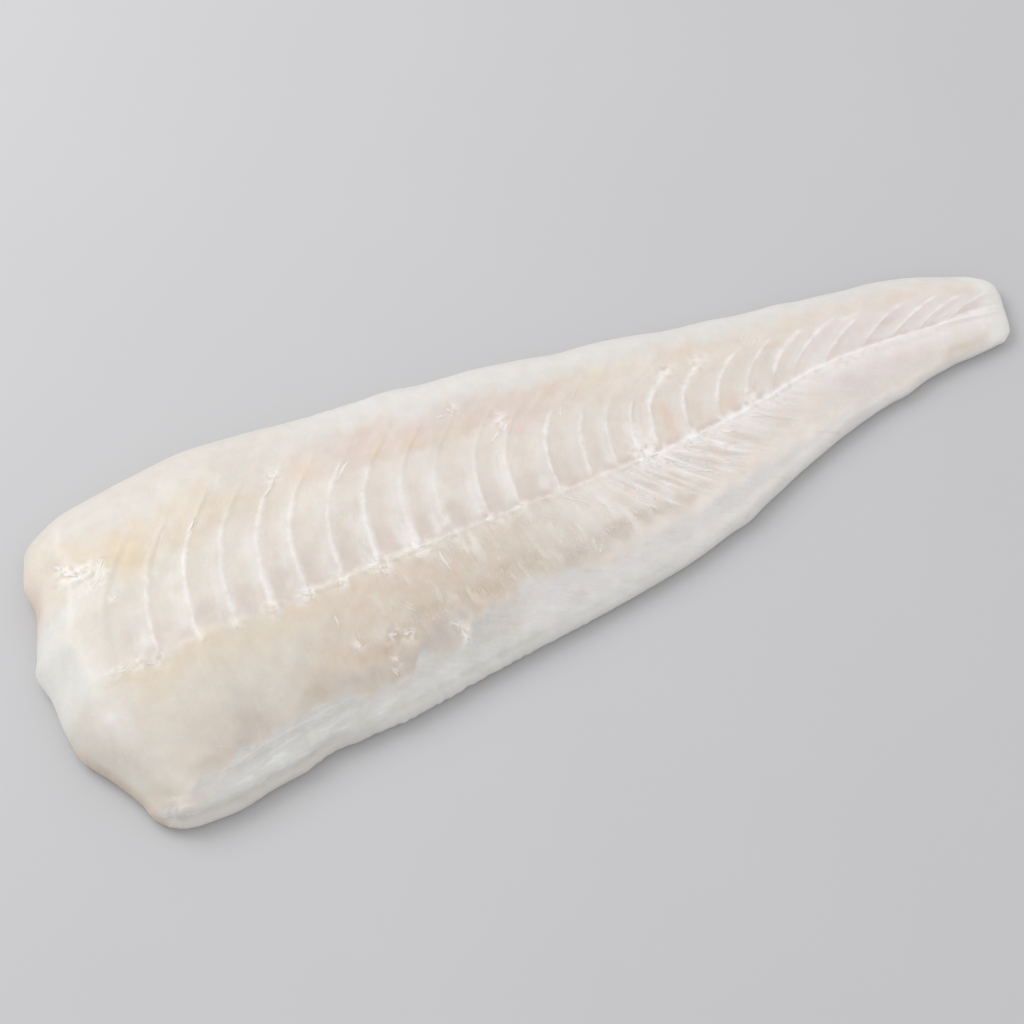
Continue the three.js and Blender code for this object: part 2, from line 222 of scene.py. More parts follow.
def lean(foot, across):
    """How far towards the tail the wall from this foot has leant: reach times (place across) to
    the power bend, with part of it taken back near the edge."""
    out = np.abs(across)
    kept = 1 - LEAN_LOST * smooth((out - LEAN_FADES_FROM) / (1 - LEAN_FADES_FROM))
    back = through(BACK_REACH, foot) * out ** through(BACK_BEND, foot)
    belly = through(BELLY_REACH, foot) * out ** BELLY_BEND
    return np.where(across < 0, belly, back) * kept


def foot_of(x, across):
    """The place on the centre line whose wall leans to this point: a first guess at the point
    itself, made good a few times by the lean found at the guess before."""
    foot = x
    for _ in range(LEAN_TRIES):
        foot = x - lean(foot, across)
    return foot


def off_centre(x, across):
    """Millimetres from the centre line, under 0 on the belly side."""
    return across * width_to(across, x)


def grown(x, part):
    """0 up to the station that a part of the relief starts from, 1 once it is fully grown."""
    return smooth((x - part["from"]) / part["over"])


def flakes(x, y, across):
    """The blocks' relief: each rises as a power of the way from just past one wall to the next,
    drops as an even S past it, and has a thread along the wall. It is plainer here and there,
    and fades at the centre line, towards both edges and towards the tail."""
    count = through(WALL_COUNT, foot_of(x, across))
    past = count - np.floor(count)
    climbed = np.maximum(past - FLAKE_DROP, 0) / (1 - FLAKE_DROP)
    rise = np.where(past < FLAKE_DROP, 1 - smooth(past / FLAKE_DROP), climbed ** FLAKE_CURVE)
    out = np.abs(across)
    ends_at = FLAKES_END["at"] - FLAKES_END["sooner"] * grown(x, FLAKES_END)
    seen = smooth(out / FLAKES_RISE_OVER) * smooth((ends_at - out) / FLAKES_FADE_OVER)
    seen = seen * np.where(across < 0, BELLY_FLAKE_SHARE, 1)
    seen = seen * (FLAKES_EVEN + FLAKES_VARY * ripples(x, y, FLAKES_VARY_OVER, 3))
    seen = seen * (1 - (1 - TAIL_FLAKES["share"]) * grown(x, TAIL_FLAKES))
    off_wall = np.abs(count - np.round(count)) * WALL_THREAD["block"]
    thread = WALL_THREAD["height"] * bell(off_wall, WALL_THREAD["width"])
    return FLAKE_STEP * seen * (rise - 0.5) + thread * seen


def centre_relief(x, across):
    """A thread along the centre line in its groove and, towards the tail, a ridge with a narrow
    groove above it: bells of the distance from each line."""
    out = off_centre(x, across)
    groove = bell(out, CENTRE_GROOVE["width"]) - bell(out, CENTRE_GROOVE["thread"])
    off_ridge = out - through(RIDGE_AT, x)
    ridge = RIDGE["height"] * bell(off_ridge, RIDGE["width"])
    above = RIDGE_GROOVE["depth"] * bell(off_ridge - RIDGE_GROOVE["off"], RIDGE_GROOVE["width"])
    return ((ridge - above) * grown(x, RIDGE)
            - CENTRE_GROOVE["depth"] * groove * grown(x, CENTRE_GROOVE))


def relief(x, y, across):
    """All relief of the cut face: the blocks, the centre line, the belly lining's thin sheet, the
    swollen lip of the head's cut, and soft unevenness."""
    frayed = LINING["frayed"] * ripples(x, y, LINING_FRAY_LENGTH, 5)
    inside = through(LINING_EDGE, x) - across + frayed
    lining = LINING["thickness"] * smooth(inside / LINING["border"])
    lip = bell(x - through(HEAD_CUT, across) - HEAD_LIP["at"], HEAD_LIP["width"])
    return (flakes(x, y, across) + centre_relief(x, across) + HEAD_LIP["height"] * lip
            + lining * grown(x, LINING) * (1 - grown(x, LINING_THINS))
            + sum(height * ripples(x, y, length, seed) for height, length, seed in UNEVENNESS))


# The mesh. The face is a grid whose columns stand in step with the walls and whose rows run from
# the belly edge to the back edge, both closer together on the round rims. Rings carry the border
# down and under to the skin side, a coarser grid that lies flat on the table. The crowded rows
# take at most the widest share of a half width, and the tail's crowded columns take that share of
# the way back to the last wall.
COLUMNS_PER_BLOCK, HEAD_COLUMNS, TAIL_COLUMNS = 16, 24, 16
FIRST_WALL, LAST_WALL = -1, 25
FEET_TRIED = 4000
EDGE_ROWS, BELLY_ROWS, BACK_ROWS = 20, 44, 60
WIDEST_SHARE = 0.9
RIM_RINGS = 6
BORDER_SPAN = 3
SKIN_STEP = 4
FOLLOW_HEAD, FOLLOW_TAIL = 60, 70

head_start, tail_end = through(HEAD_CUT, 0.0), through(TAIL_CUT, 0.0)


def quarter(count):
    """Places from 0 towards 1 that crowd at 0: one less the cosine of even steps of a right
    angle."""
    return 1 - np.cos(np.arange(count) / count * np.pi / 2)


def column_feet():
    """The columns' places on the centre line: crowded on the head's rim, then in step with the
    walls, found by reading the count of walls backwards, then crowded on the tail's rim."""
    fine = np.linspace(head_start, tail_end, FEET_TRIED)
    steps = (LAST_WALL - FIRST_WALL) * COLUMNS_PER_BLOCK
    walls = np.interp(FIRST_WALL + np.arange(steps + 1) / COLUMNS_PER_BLOCK,
                      through(WALL_COUNT, fine), fine)
    head = head_start + grows(HEAD_ROUND, FULL_THICKNESS) * quarter(HEAD_COLUMNS)
    tail = tail_end - WIDEST_SHARE * (tail_end - walls[-1]) * quarter(TAIL_COLUMNS)[::-1]
    return np.concatenate([head, walls, tail])


def rows_across(foot):
    """The rows' places on each column, from -1 to 1, crowded on the round edges."""
    belly, back = (grows(size, plain_height(foot, side)) / width_to(side, foot)
                   for side, size in ((-1, BELLY_ROUND), (1, BACK_ROUND)))
    belly, back = np.minimum(belly, WIDEST_SHARE), np.minimum(back, WIDEST_SHARE)
    parts = [-1 + belly[:, None] * quarter(EDGE_ROWS),
             (belly[:, None] - 1) * (1 - np.arange(BELLY_ROWS) / BELLY_ROWS),
             (1 - back[:, None]) * (np.arange(BACK_ROWS) / BACK_ROWS),
             1 - back[:, None] * np.append(quarter(EDGE_ROWS), 1)[::-1]]
    return np.concatenate(parts, 1)


def on_face(x, across):
    """The cut face at a place along and across: y is the centre line plus the half width times
    the place across, and z the plain height and relief, brought down to the widest line of the
    rim by the rounding of the four edges."""
    y = through(CENTRE_LINE, x) + off_centre(x, across)
    height = plain_height(x, across)
    rounded = (round_edge((1 - across) * width_to(1, x), BACK_ROUND, height)
               * round_edge((1 + across) * width_to(-1, x), BELLY_ROUND, height)
               * round_edge(x - through(HEAD_CUT, across), HEAD_ROUND, height)
               * round_edge(through(TAIL_CUT, across) - x, TAIL_ROUND, height))
    widest = grows(WIDEST_AT, height)
    z = widest + (height + relief(x, y, across) * rounded - widest) * rounded
    return np.stack([x, y, z], -1)


def along(foot, across):
    """Where a column has got to along the fillet at a place across: its foot moved by the wall's
    lean, or near an end by that end's cut."""
    from_head = smooth((foot - head_start) / FOLLOW_HEAD)
    from_tail = smooth((tail_end - foot) / FOLLOW_TAIL)
    return (foot + from_head * from_tail * lean(foot, across)
            + (1 - from_head) * (through(HEAD_CUT, across) - head_start)
            + (1 - from_tail) * (through(TAIL_CUT, across) - tail_end))


def border(grid):
    """The grid's border once round, clockwise from above, starting at the head's belly corner."""
    return np.concatenate([grid[0, :-1], grid[:-1, -1], grid[-1, :0:-1], grid[:0:-1, 0]])


def turned_in(rim, turn):
    """The rim's points after the rim has turned under by an angle: moved along the border's
    inward normal by the tuck times one less its cosine, and lowered by its sine."""
    ahead = np.roll(rim, -BORDER_SPAN, 0) - np.roll(rim, BORDER_SPAN, 0)
    inward = np.stack([ahead[:, 1], -ahead[:, 0]], -1)
    inward /= np.linalg.norm(inward, axis=1, keepdims=True)
    tuck = TUCK_SHARE * rim[:, 2:3] * (1 - np.cos(turn))
    return np.concatenate([rim[:, :2] + inward * tuck, rim[:, 2:3] * (1 - np.sin(turn))], 1)


def stretched_between(grid, u, v):
    """A grid filled from its four sides: the blend of two opposite sides, plus that of the other
    two, less that of the four corners."""
    u, v = u[:, None, None], v[None, :, None]
    ends = (1 - u) * grid[:1] + u * grid[-1:]
    sides = (1 - v) * grid[:, :1] + v * grid[:, -1:]
    corners = ((1 - u) * ((1 - v) * grid[:1, :1] + v * grid[:1, -1:])
               + u * ((1 - v) * grid[-1:, :1] + v * grid[-1:, -1:]))
    return ends + sides - corners


feet = column_feet()
across = rows_across(feet)
x = along(feet[:, None], across)
face = on_face(x, across)
shape = across.shape
numbers = np.arange(x.size).reshape(shape)

rim, rim_across = border(face), border(across)
turns = np.arange(1, RIM_RINGS + 1) / RIM_RINGS
rings = np.array([turned_in(rim, turn * np.pi / 2) for turn in turns])
ring_numbers = x.size + np.arange(rings[..., 0].size).reshape(RIM_RINGS, -1)
ring_numbers = np.concatenate([border(numbers)[None], ring_numbers])

# The skin side's grid takes every few points of the last ring as its border, with the place
# across in a fourth column beside x, y and z.
coarse = (np.array(shape) - 1) // SKIN_STEP + 1
skin_border = border(np.arange(coarse.prod()).reshape(coarse))
skin = np.zeros((coarse.prod(), 4))
skin[skin_border] = np.concatenate([rings[-1], rim_across[:, None]], 1)[::SKIN_STEP]
skin = skin.reshape(*coarse, 4)
skin = stretched_between(skin, (feet[::SKIN_STEP] - head_start) / (tail_end - head_start),
                         (across[shape[0] // 2, ::SKIN_STEP] + 1) / 2)
inside = skin[1:-1, 1:-1].reshape(-1, 4)
skin_numbers = np.full(coarse, -1)
first_inside = x.size + rings[..., 0].size
skin_numbers[1:-1, 1:-1] = (first_inside + np.arange(len(inside))).reshape(coarse - 2)


def quads(a, b, c, d):
    """The corner numbers of four-sided faces."""
    return np.stack([a.ravel(), b.ravel(), c.ravel(), d.ravel()], 1)


def fans():
    """Triangles between the last ring and the skin side's grid: each coarse step takes four fine
    ones, and at the four corners the ones that would have no width are left out."""
    row, column = np.indices(coarse)
    row, column = np.clip(row, 1, coarse[0] - 2), np.clip(column, 1, coarse[1] - 2)
    partner = border(skin_numbers[row, column])
    after = np.roll(partner, -1)
    fine = ring_numbers[-1].reshape(-1, SKIN_STEP)
    fine = np.concatenate([fine, np.roll(fine[:, 0], -1)[:, None]], 1)
    half = SKIN_STEP // 2
    found = [np.stack([fine[:, k], fine[:, k + 1], partner if k < half else after], 1)
             for k in range(SKIN_STEP)]
    found.append(np.stack([partner, fine[:, half], after], 1)[partner != after])
    return np.concatenate(found)


upper, lower = ring_numbers[:-1], ring_numbers[1:]
flat = skin_numbers[1:-1, 1:-1]
four_sided = np.concatenate([
    quads(numbers[:-1, :-1], numbers[1:, :-1], numbers[1:, 1:], numbers[:-1, 1:]),
    quads(upper, np.roll(upper, -1, 1), np.roll(lower, -1, 1), lower),
    quads(flat[:-1, :-1], flat[:-1, 1:], flat[1:, 1:], flat[1:, :-1])])
three_sided = fans()

points = np.concatenate([face.reshape(-1, 3), rings.reshape(-1, 3), inside[:, :3]])
across = np.concatenate([across.ravel(), np.tile(rim_across, RIM_RINGS), inside[:, 3]])
under = np.concatenate([np.zeros(x.size), np.repeat(turns, len(rim)), np.ones(len(inside))])
x, y = points[:, :2].T

# The millimetre plan is moved to the part's place.
low, high = (np.array(corner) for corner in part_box("cod_fillet"))
middle = (points.min(0) + points.max(0)) / 2
middle[2] = 0


def placed(points):
    """Points of the plan, in millimetres, as metres in the part's frame."""
    return (points - middle) / 1000 + [*(low + high)[:2] / 2, low[2]]


def mesh_piece(name, points, faces, attributes):
    """A mesh object at the origin from points in metres, a list of arrays of faces, and
    values on the points: one number each, or a colour."""
    mesh = bpy.data.meshes.new(name)
    sizes = np.concatenate([np.full(len(part), part.shape[1]) for part in faces])
    corners = np.concatenate([part.ravel() for part in faces])
    mesh.vertices.add(len(points))
    mesh.vertices.foreach_set("co", points.astype(np.float32).ravel())
    mesh.loops.add(len(corners))
    mesh.loops.foreach_set("vertex_index", corners.astype(np.int32))
    mesh.polygons.add(len(sizes))
    mesh.polygons.foreach_set("loop_start", (np.cumsum(sizes) - sizes).astype(np.int32))
    mesh.polygons.foreach_set("use_smooth", np.full(len(sizes), True))
    mesh.update(calc_edges=True)
    mesh.validate()
    for label, values in attributes.items():
        kind, field = ("FLOAT", "value") if values.ndim == 1 else ("FLOAT_COLOR", "color")
        if values.ndim == 2:
            values = np.concatenate([values, np.ones((len(values), 1))], 1)
        data = mesh.attributes.new(label, kind, "POINT").data
        data.foreach_set(field, values.astype(np.float32).ravel())
    piece = bpy.data.objects.new(name, mesh)
    bpy.context.scene.collection.objects.link(piece)
    return piece


# The colours. Raw cod is pale cream where it is thick, and tan or brown where it is thin or
# bruised. The belly keeps part of its silver lining, the back edge is the whitest, and the tail is
# faintly pink. Some layers are painted shade and light, said so where they are laid. Colours are as
# they look in daylight, from 0 to 255.
FLESH = (228, 219, 210)
HEAD_CREAM = (226, 219, 209)
TAIL_PINK = (231, 221, 218)
TAIL_CREAM = (228, 221, 215)
PALE_EDGE = (225, 222, 218)
LOIN_GOLD = (223, 212, 199)
LOIN_PEACH = (221, 209, 200)
LOIN_TAN = (231, 221, 210)
GOLDEN = (223, 207, 180)
ORANGE = (228, 209, 193)
ROSE = (226, 207, 202)
BELLY_WARM = (229, 221, 210)
BELLY_WHITE = (240, 231, 223)
BELLY_GOLD = (227, 216, 200)
BELLY_BROWN = (205, 196, 187)
BELLY_TAN = (222, 208, 194)
BROWN = (199, 182, 163)
BRUISED = (189, 177, 172)
MILKY_AND_GLINT = (239, 235, 231)
LINING_SILVER = (204, 201, 197)
LINING_ROSE = (222, 218, 216)
LINING_SHADE = (200, 200, 197)
CUT_COOL = (227, 226, 221)
LIP_CREAM_HIGHLIGHT = (233, 229, 221)
HEAD_UNDER_SHADE = (214, 209, 200)
TAIL_END = (234, 232, 228)
RIDGE_WHITE = (249, 243, 245)
RIDGE_SHADE = (215, 200, 202)
GROOVE_BROWN_SHADE = (217, 201, 192)
HEAD_EDGE = (221, 215, 207)
BELLY_RIM = (224, 219, 210)
PALE_RIM_GLOW = (226, 224, 220)
HEAD_TAN = (231, 221, 209)
HEAD_BROWN = (215, 196, 181)
HEAD_RIM_SHADE = (201, 189, 174)
FOOT_GREY_SHADE = (218, 208, 200)
RIDGE_MILK = (241, 233, 231)
SKIN_SIDE = (214, 208, 200)
RED_MUSCLE = (176, 140, 122)

# Spots of one colour: the place along and across, the half length, the half width as a share
# across, and the strength. The last two lists are painted light and shade: the belly's thin rim
# made paler where it glows through, and the head's belly corner made darker brown where it turns
# under.
GOLDEN_SPOTS = [(-177, 0.53, 8, 0.12, 1), (-186, 0.58, 8, 0.06, 0.5), (-198, 0.67, 10, 0.05, 0.5),
                (-135, 0.6, 9, 0.08, 0.4), (-152, 0.46, 6, 0.06, 0.4), (-192, -0.08, 8, 0.08, 0.3),
                (-66, 0.56, 4, 0.05, 0.8), (38, 0.6, 6, 0.12, 0.3), (125, 0.45, 5, 0.04, 0.6)]
ORANGE_SPOTS = [(-97, 0.6, 6, 0.1, 0.7), (-50, 0.61, 6, 0.08, 0.7), (-29, 0.55, 9, 0.07, 0.4),
                (-4, 0.6, 7, 0.07, 0.4), (20, 0.65, 8, 0.05, 0.4), (61, 0.18, 4.5, 0.16, 0.9),
                (61, 0.04, 5, 0.04, 0.5), (91, 0.1, 4.5, 0.09, 0.8), (78, 0.25, 4, 0.12, 0.3),
                (87, 0.66, 9, 0.05, 0.4), (188, 0.6, 7, 0.06, 0.4), (88, -0.24, 3, 0.1, 0.8),
                (11, 0.03, 5, 0.03, 0.7), (45, 0.42, 4, 0.1, 0.2)]
ROSE_SPOTS = [(-70, 0.65, 9, 0.07, 0.4), (-4, 0.49, 4, 0.06, 0.8), (178, 0.26, 5, 0.07, 0.6),
              (165, 0.05, 5, 0.04, 0.6), (-73, -0.18, 2, 0.04, 0.6), (110, 0.63, 4, 0.04, 0.6),
              (150, -0.15, 8, 0.06, 0.4), (177, -0.26, 14, 0.14, 0.4), (-40, 0.7, 12, 0.04, 0.3)]
BROWN_SPOTS = [(-50, -0.46, 9, 0.08, 0.55), (-35, -0.46, 9, 0.07, 0.5), (-88, -0.51, 9, 0.06, 0.6),
               (-68, -0.44, 9, 0.06, 0.4), (-16, -0.45, 6, 0.05, 0.4), (20, -0.48, 7, 0.06, 0.2),
               (-124, -0.66, 8, 0.05, 0.4), (-94, -0.71, 9, 0.06, 0.4),
               (205, -0.76, 10, 0.16, 0.45), (58, -0.5, 7, 0.06, 0.3), (33, -0.53, 8, 0.05, 0.35),
               (84, -0.53, 5, 0.08, 0.25), (112, -0.38, 8, 0.06, 0.2), (-2, -0.45, 6, 0.05, 0.35),
               (-158, -0.68, 18, 0.06, 0.2), (36, -0.5, 6, 0.05, 0.3)]
BRUISED_SPOTS = [(-172, -0.68, 14, 0.06, 0.3), (-148, -0.64, 10, 0.05, 0.2),
                 (-67, -0.61, 10, 0.09, 0.5), (-84, -0.66, 10, 0.06, 0.4),
                 (-104, -0.68, 8, 0.05, 0.3)]
# Milky spots are white tissue, except the first, by the head: a painted highlight on a wet ridge.
MILKY_AND_GLINT_SPOTS = [(-202, 0.55, 3, 0.04, 1), (-90, 0.39, 3, 0.04, 0.6), (99, -0.2, 6, 0.1, 0.6),
               (164, 0.48, 3, 0.05, 0.9), (23, -0.09, 4, 0.09, 0.5), (70, -0.03, 4, 0.03, 0.7),
               (113, -0.06, 5, 0.05, 0.6), (-203, -0.3, 6.5, 0.13, 1), (-83, 0.0, 4, 0.04, 0.8),
               (-62, 0.0, 5, 0.03, 0.8), (-114, 0.0, 5, 0.03, 0.5), (-82, 0.26, 3, 0.05, 0.5),
               (-44, 0.24, 5, 0.12, 0.4), (-12, 0.22, 4, 0.12, 0.4), (44, 0.0, 6, 0.05, 0.5),
               (46, 0.14, 4, 0.1, 0.3), (45.5, 0.17, 1.2, 0.11, 0.9), (41.5, 0.12, 1, 0.07, 0.8),
               (50, 0.11, 1, 0.07, 0.8), (-16, -0.06, 6, 0.04, 0.3), (97, -0.1, 5, 0.06, 0.6),
               (50, -0.1, 6, 0.06, 0.5), (66, -0.16, 6, 0.06, 0.4), (-56, -0.7, 2, 0.12, 0.5)]
RIM_GLOW_SPOTS = [(-66, -0.87, 9, 0.07, 0.6)]
CORNER_SHADE_SPOTS = [(-190, -0.84, 16, 0.08, 0.38)]

# Knots of torn fibre: the place along, the distance off the centre line, the size and the strength.
TORN_KNOTS = [(-197, 0.5, 2.5, 0.6), (-189, 0, 3, 0.8), (-180, -1.5, 3, 0.7), (-161, -0.5, 2, 0.6),
              (-145, -1, 2.4, 0.7), (-129, -0.5, 3, 0.9), (-113.5, 0, 3.6, 1),
              (-97.5, -0.6, 3, 0.9), (-80.5, 0.6, 3.8, 1), (-78, -3, 2.8, 0.8), (-63, 0.4, 4.4, 1),
              (-57, -3, 2.6, 0.7), (-46, -1, 2.4, 0.7), (-29, 0.5, 2.6, 0.7), (-14, 0, 2.6, 0.7),
              (5, 1, 2.4, 0.6), (44, 3, 4.4, 1), (48, 0, 4.5, 1), (53, -5, 4, 0.8),
              (69, 1, 3.5, 0.7), (98, 2, 3.4, 0.8), (104, 4, 3, 0.8), (112, -2, 3.5, 0.7),
              (-206, 51, 4.5, 1), (-200, 48.5, 3.6, 1), (-196, 41.5, 3, 1), (-191.5, 46.5, 3.4, 1),
              (-190, 32, 2, 0.7), (-111, 57, 3.4, 0.8), (-8, 42, 3.6, 0.9), (-26, 55, 2.6, 0.8),
              (70, 34, 4, 0.7), (86, 32, 4, 0.7), (-100, -27, 2.4, 0.8), (-85, -29, 3.4, 0.8),
              (-78, -32, 3, 0.8), (-87, -39, 2.6, 0.6), (-58, -35, 2.6, 0.7),
              (-55.5, -39, 2.6, 0.7), (12, -25, 2.4, 0.7)]


def daylight(colour):
    """A colour given from 0 to 255 as the linear share of light that it sends back."""
    share = np.array(colour, float) / 255
    return np.where(share > 0.04045, ((share + 0.055) / 1.055) ** 2.4, share / 12.92)


def between(value, start, full, fades=None, gone=None):
    """Rises from 0 at start to 1 at full, and where it is given falls again from fades to gone."""
    rising = smooth((value - start) / (full - start))
    return rising if fades is None else rising * (1 - smooth((value - fades) / (gone - fades)))


def painted(x, y, across, under):
    """The flesh's colour at points: the colours below are laid over each other in their order,
    each through a mask from 0 to 1. Bells make the spots, and soft noise frays every border."""
    warped_x = x + 3 * ripples(x, y, 25, 11) + 1.5 * ripples(x, y, 8, 12)
    edge = across + 0.035 * ripples(x, y, 30, 13) + 0.02 * ripples(x, y, 9, 14)
    belly = -edge
    broad = ripples(x, y, 30, 15)
    mottle = np.clip(0.8 + 0.3 * broad + 0.25 * ripples(x, y, 9, 16), 0, 1.3)
    from_head = x - through(HEAD_CUT, across)
    from_tail = through(TAIL_CUT, across) - x
    in_lining = through(LINING_EDGE, x) - across - 0.02 * ripples(x, y, 14, 17)
    off_ridge = off_centre(x, across) - through(RIDGE_AT, x)
    ridge_width = 1.8 + 1.4 * between(x, 30, 45, 90, 120)
    ridge_line = bell(off_ridge + 0.6 * ripples(x, y, 5, 19), ridge_width)
    in_block = through(WALL_COUNT, warped_x) % 1

    def patches(spots):
        """The sum of bells at these spots, each times its strength."""
        return sum(strength * bell(warped_x - at, length) * bell(edge - place, width)
                   for at, place, length, width, strength in spots)

    layers = [
        (HEAD_CREAM, between(-warped_x, 95, 160)),
        (TAIL_PINK, between(warped_x, 110, 150)),
        (TAIL_CREAM, between(warped_x, 110, 150) * between(belly, 0.3, 0.7)),
        (BELLY_WARM, between(belly, -0.01, 0.08) * between(-warped_x, -60, 40)),
        (BELLY_WHITE, between(belly, -0.01, 0.08) * between(warped_x, -10, 40, 110, 150)),
        (BELLY_GOLD, 0.9 * between(belly, -0.01, 0.04, 0.13, 0.28)
         * between(warped_x, -205, -185, -110, -80)),
        (BELLY_BROWN, between(belly, 0.15, 0.72) * between(-warped_x, -55, 30)
         * between(from_head, 10, 60) * (0.85 + 0.15 * broad)),
        (BELLY_TAN, between(belly, 0.02, 0.12, 0.5, 0.7)
         * between(warped_x, -135, -105, -40, -10) * mottle),
        (LOIN_GOLD, between(edge, 0.38, 0.5, 0.62, 0.74) * between(-warped_x, 95, 130) * mottle),
        (LOIN_PEACH, between(edge, 0.44, 0.54, 0.68, 0.76)
         * between(warped_x, -120, -60, 20, 60) * mottle),
        (LOIN_TAN, between(edge, 0.42, 0.54, 0.7, 0.78) * between(warped_x, 10, 50) * mottle),
        (BELLY_BROWN, 0.45 * between(belly, 0.38, 0.48, 0.53, 0.62)
         * between(warped_x, -20, 0, 40, 75) * mottle),
        (PALE_EDGE, between(edge, 0.66, 0.8)),
        (HEAD_EDGE, between(edge, 0.64, 0.8) * between(-warped_x, 60, 130)),
        (GOLDEN, patches(GOLDEN_SPOTS)),
        (ORANGE, patches(ORANGE_SPOTS)),
        (ROSE, patches(ROSE_SPOTS)),
        (BROWN, patches(BROWN_SPOTS)),
        (BRUISED, patches(BRUISED_SPOTS)),
        (LINING_ROSE, between(in_lining, -0.02 - 0.06 * between(x, -20, 40), 0.08)
         * between(x, -50, -20)),
        (RIDGE_SHADE, bell(off_ridge - 2.3, 0.9) * between(x, 165, 182, 204, 214)),
        (RIDGE_WHITE, ridge_line * between(x, 30, 60) * between(from_tail, 4, 12)),
        (RIDGE_WHITE, 0.8 * bell(from_tail - 13 + 2 * edge, 1.6)
         * between(belly, -0.1, 0, 0.3, 0.6)),
        # Brown in the groove above the centre line, inside each block: partly the flesh's own
        # brown, partly painted shade in the groove.
        (GROOVE_BROWN_SHADE, bell(off_ridge - 2.6, 2) * between(x, -70, -40, 100, 125)
         * between(in_block, 0.05, 0.3, 0.7, 0.95)),
        # Painted shade: a darker, greyer band just above the centre line, along the walls' feet.
        (FOOT_GREY_SHADE, between(edge, -0.01, 0.03, 0.1, 0.26) * between(x, -205, -180, -40, 60)),
        (RIDGE_MILK, bell(off_ridge + 3, 4.5) * between(x, 60, 105)),
        # Painted shade where the belly half of the head's cut curves under, away from the lamp.
        (HEAD_UNDER_SHADE, (1 - between(from_head, 16, 34)) * between(belly, 0.05, 0.3)),
        # Milky white tissue, and a painted highlight by the head.
        (MILKY_AND_GLINT, patches(MILKY_AND_GLINT_SPOTS)),
        (LINING_SILVER, between(in_lining, -0.015, 0.025) * between(x, -206, -198, -50, -20)),
        (LINING_SHADE, 0.6 * between(belly, 0.76, 0.88) * between(x, -196, -180, 30, 70)),
        (BELLY_RIM, between(-across, 0.96, 0.99) * between(-warped_x, 90, 130)),
        # The belly's thin rim: its own pale cream, made paler as painted light for the glow through
        # the thin flesh.
        (PALE_RIM_GLOW, between(-across, 0.93, 0.98) * between(warped_x, -130, -90)),
        (PALE_RIM_GLOW, patches(RIM_GLOW_SPOTS)),
        # Painted shade: the head's belly corner darker and browner where it turns under.
        (BROWN, patches(CORNER_SHADE_SPOTS)),
        (HEAD_TAN, (1 - between(from_head, 10, 26)) * between(edge, 0.42, 0.56, 0.78, 0.92)),
        (CUT_COOL, (1 - between(from_head, 14, 24)) * between(edge, -0.3, -0.05, 0.4, 0.56)),
        # Painted shade, brownish, on the head's rim where its belly half turns under.
        (HEAD_RIM_SHADE, (1 - between(from_head, 0.5, 5)) * between(belly, 0.3, 0.5)),
        (HEAD_BROWN, (1 - between(from_head, 0, 7)) * bell(edge - 0.62, 0.12)),
        # A paler cream band on the swollen lip of the head's cut: partly its own cream, partly a
        # painted highlight where the lip catches the light.
        (LIP_CREAM_HIGHLIGHT, bell(from_head - 21.5, 4.5) * between(edge, -0.45, -0.1, 0.42, 0.5)),
        (TAIL_END, 1 - between(from_tail, 7, 14)),
        (SKIN_SIDE, between(under, 0.5, 1)),
        (RED_MUSCLE, 0.4 * between(under, 0.8, 1) * bell(edge - 0.04, 0.1)
         * between(from_head, 5, 40) * between(from_tail, 5, 40)),
    ]
    tint = np.tile(daylight(FLESH), (*x.shape, 1))
    for colour, mask in layers:
        tint += np.clip(mask, 0, 1)[..., None] * (daylight(colour) - tint)
    return tint


# What each point carries of its nearest wall, and how fibrous, silvery or torn the face is there.
# A wall's marks end half a block outside the first wall and the last.
FEWEST_WALLS_IN_2_MM = 0.05
CENTRE_LINE_INK = 0.5
FIBROUS_AT_LEAST = 0.12

foot = foot_of(x, across)
count = through(WALL_COUNT, foot)
walls_in_2_mm = through(WALL_COUNT, foot + 1) - through(WALL_COUNT, foot - 1)
block = 2 / np.maximum(walls_in_2_mm, FEWEST_WALLS_IN_2_MM)
out = off_centre(x, across)
frayed = across + 0.03 * ripples(x, y, 12, 18)
belly = -frayed
face_up = 1 - under

nearest = np.clip(np.round(count), 0, len(WALLS) - 1).astype(int)
strength, line_from, line_to, half_width, haze, end_gain = np.array(WALLS)[nearest, 1:].T
half_width = half_width * (1 + end_gain * between(frayed, line_to - 0.24, line_to - 0.08))
not_past = between(-count, -len(WALLS) + 0.5, -len(WALLS) + 0.6)
in_row = between(count, -0.6, -0.5) * not_past * face_up
not_above = between(belly, -line_to - 0.04, -line_to + 0.06)
line = between(frayed, line_from - 0.02, line_from + 0.04) * not_above
belly_line = between(belly, 0.02, 0.1, 0.45, 0.7) * between(x, -20, 20, 150, 190)
line = strength * (line + 0.22 * belly_line) * in_row
# Haze: white round the walls, partly pale tissue and partly painted light on the blocks' faces
# turned to the lamp.
haze = haze * between(frayed, 0.01, 0.06) * between(belly, -0.52, -0.3)
haze = (haze + 0.35 * between(x, -30, 5) * between(belly, 0.01, 0.05, 0.25, 0.5)) * in_row
centre_line = CENTRE_LINE_INK * between(x, -110, -60, 30, 70) * face_up

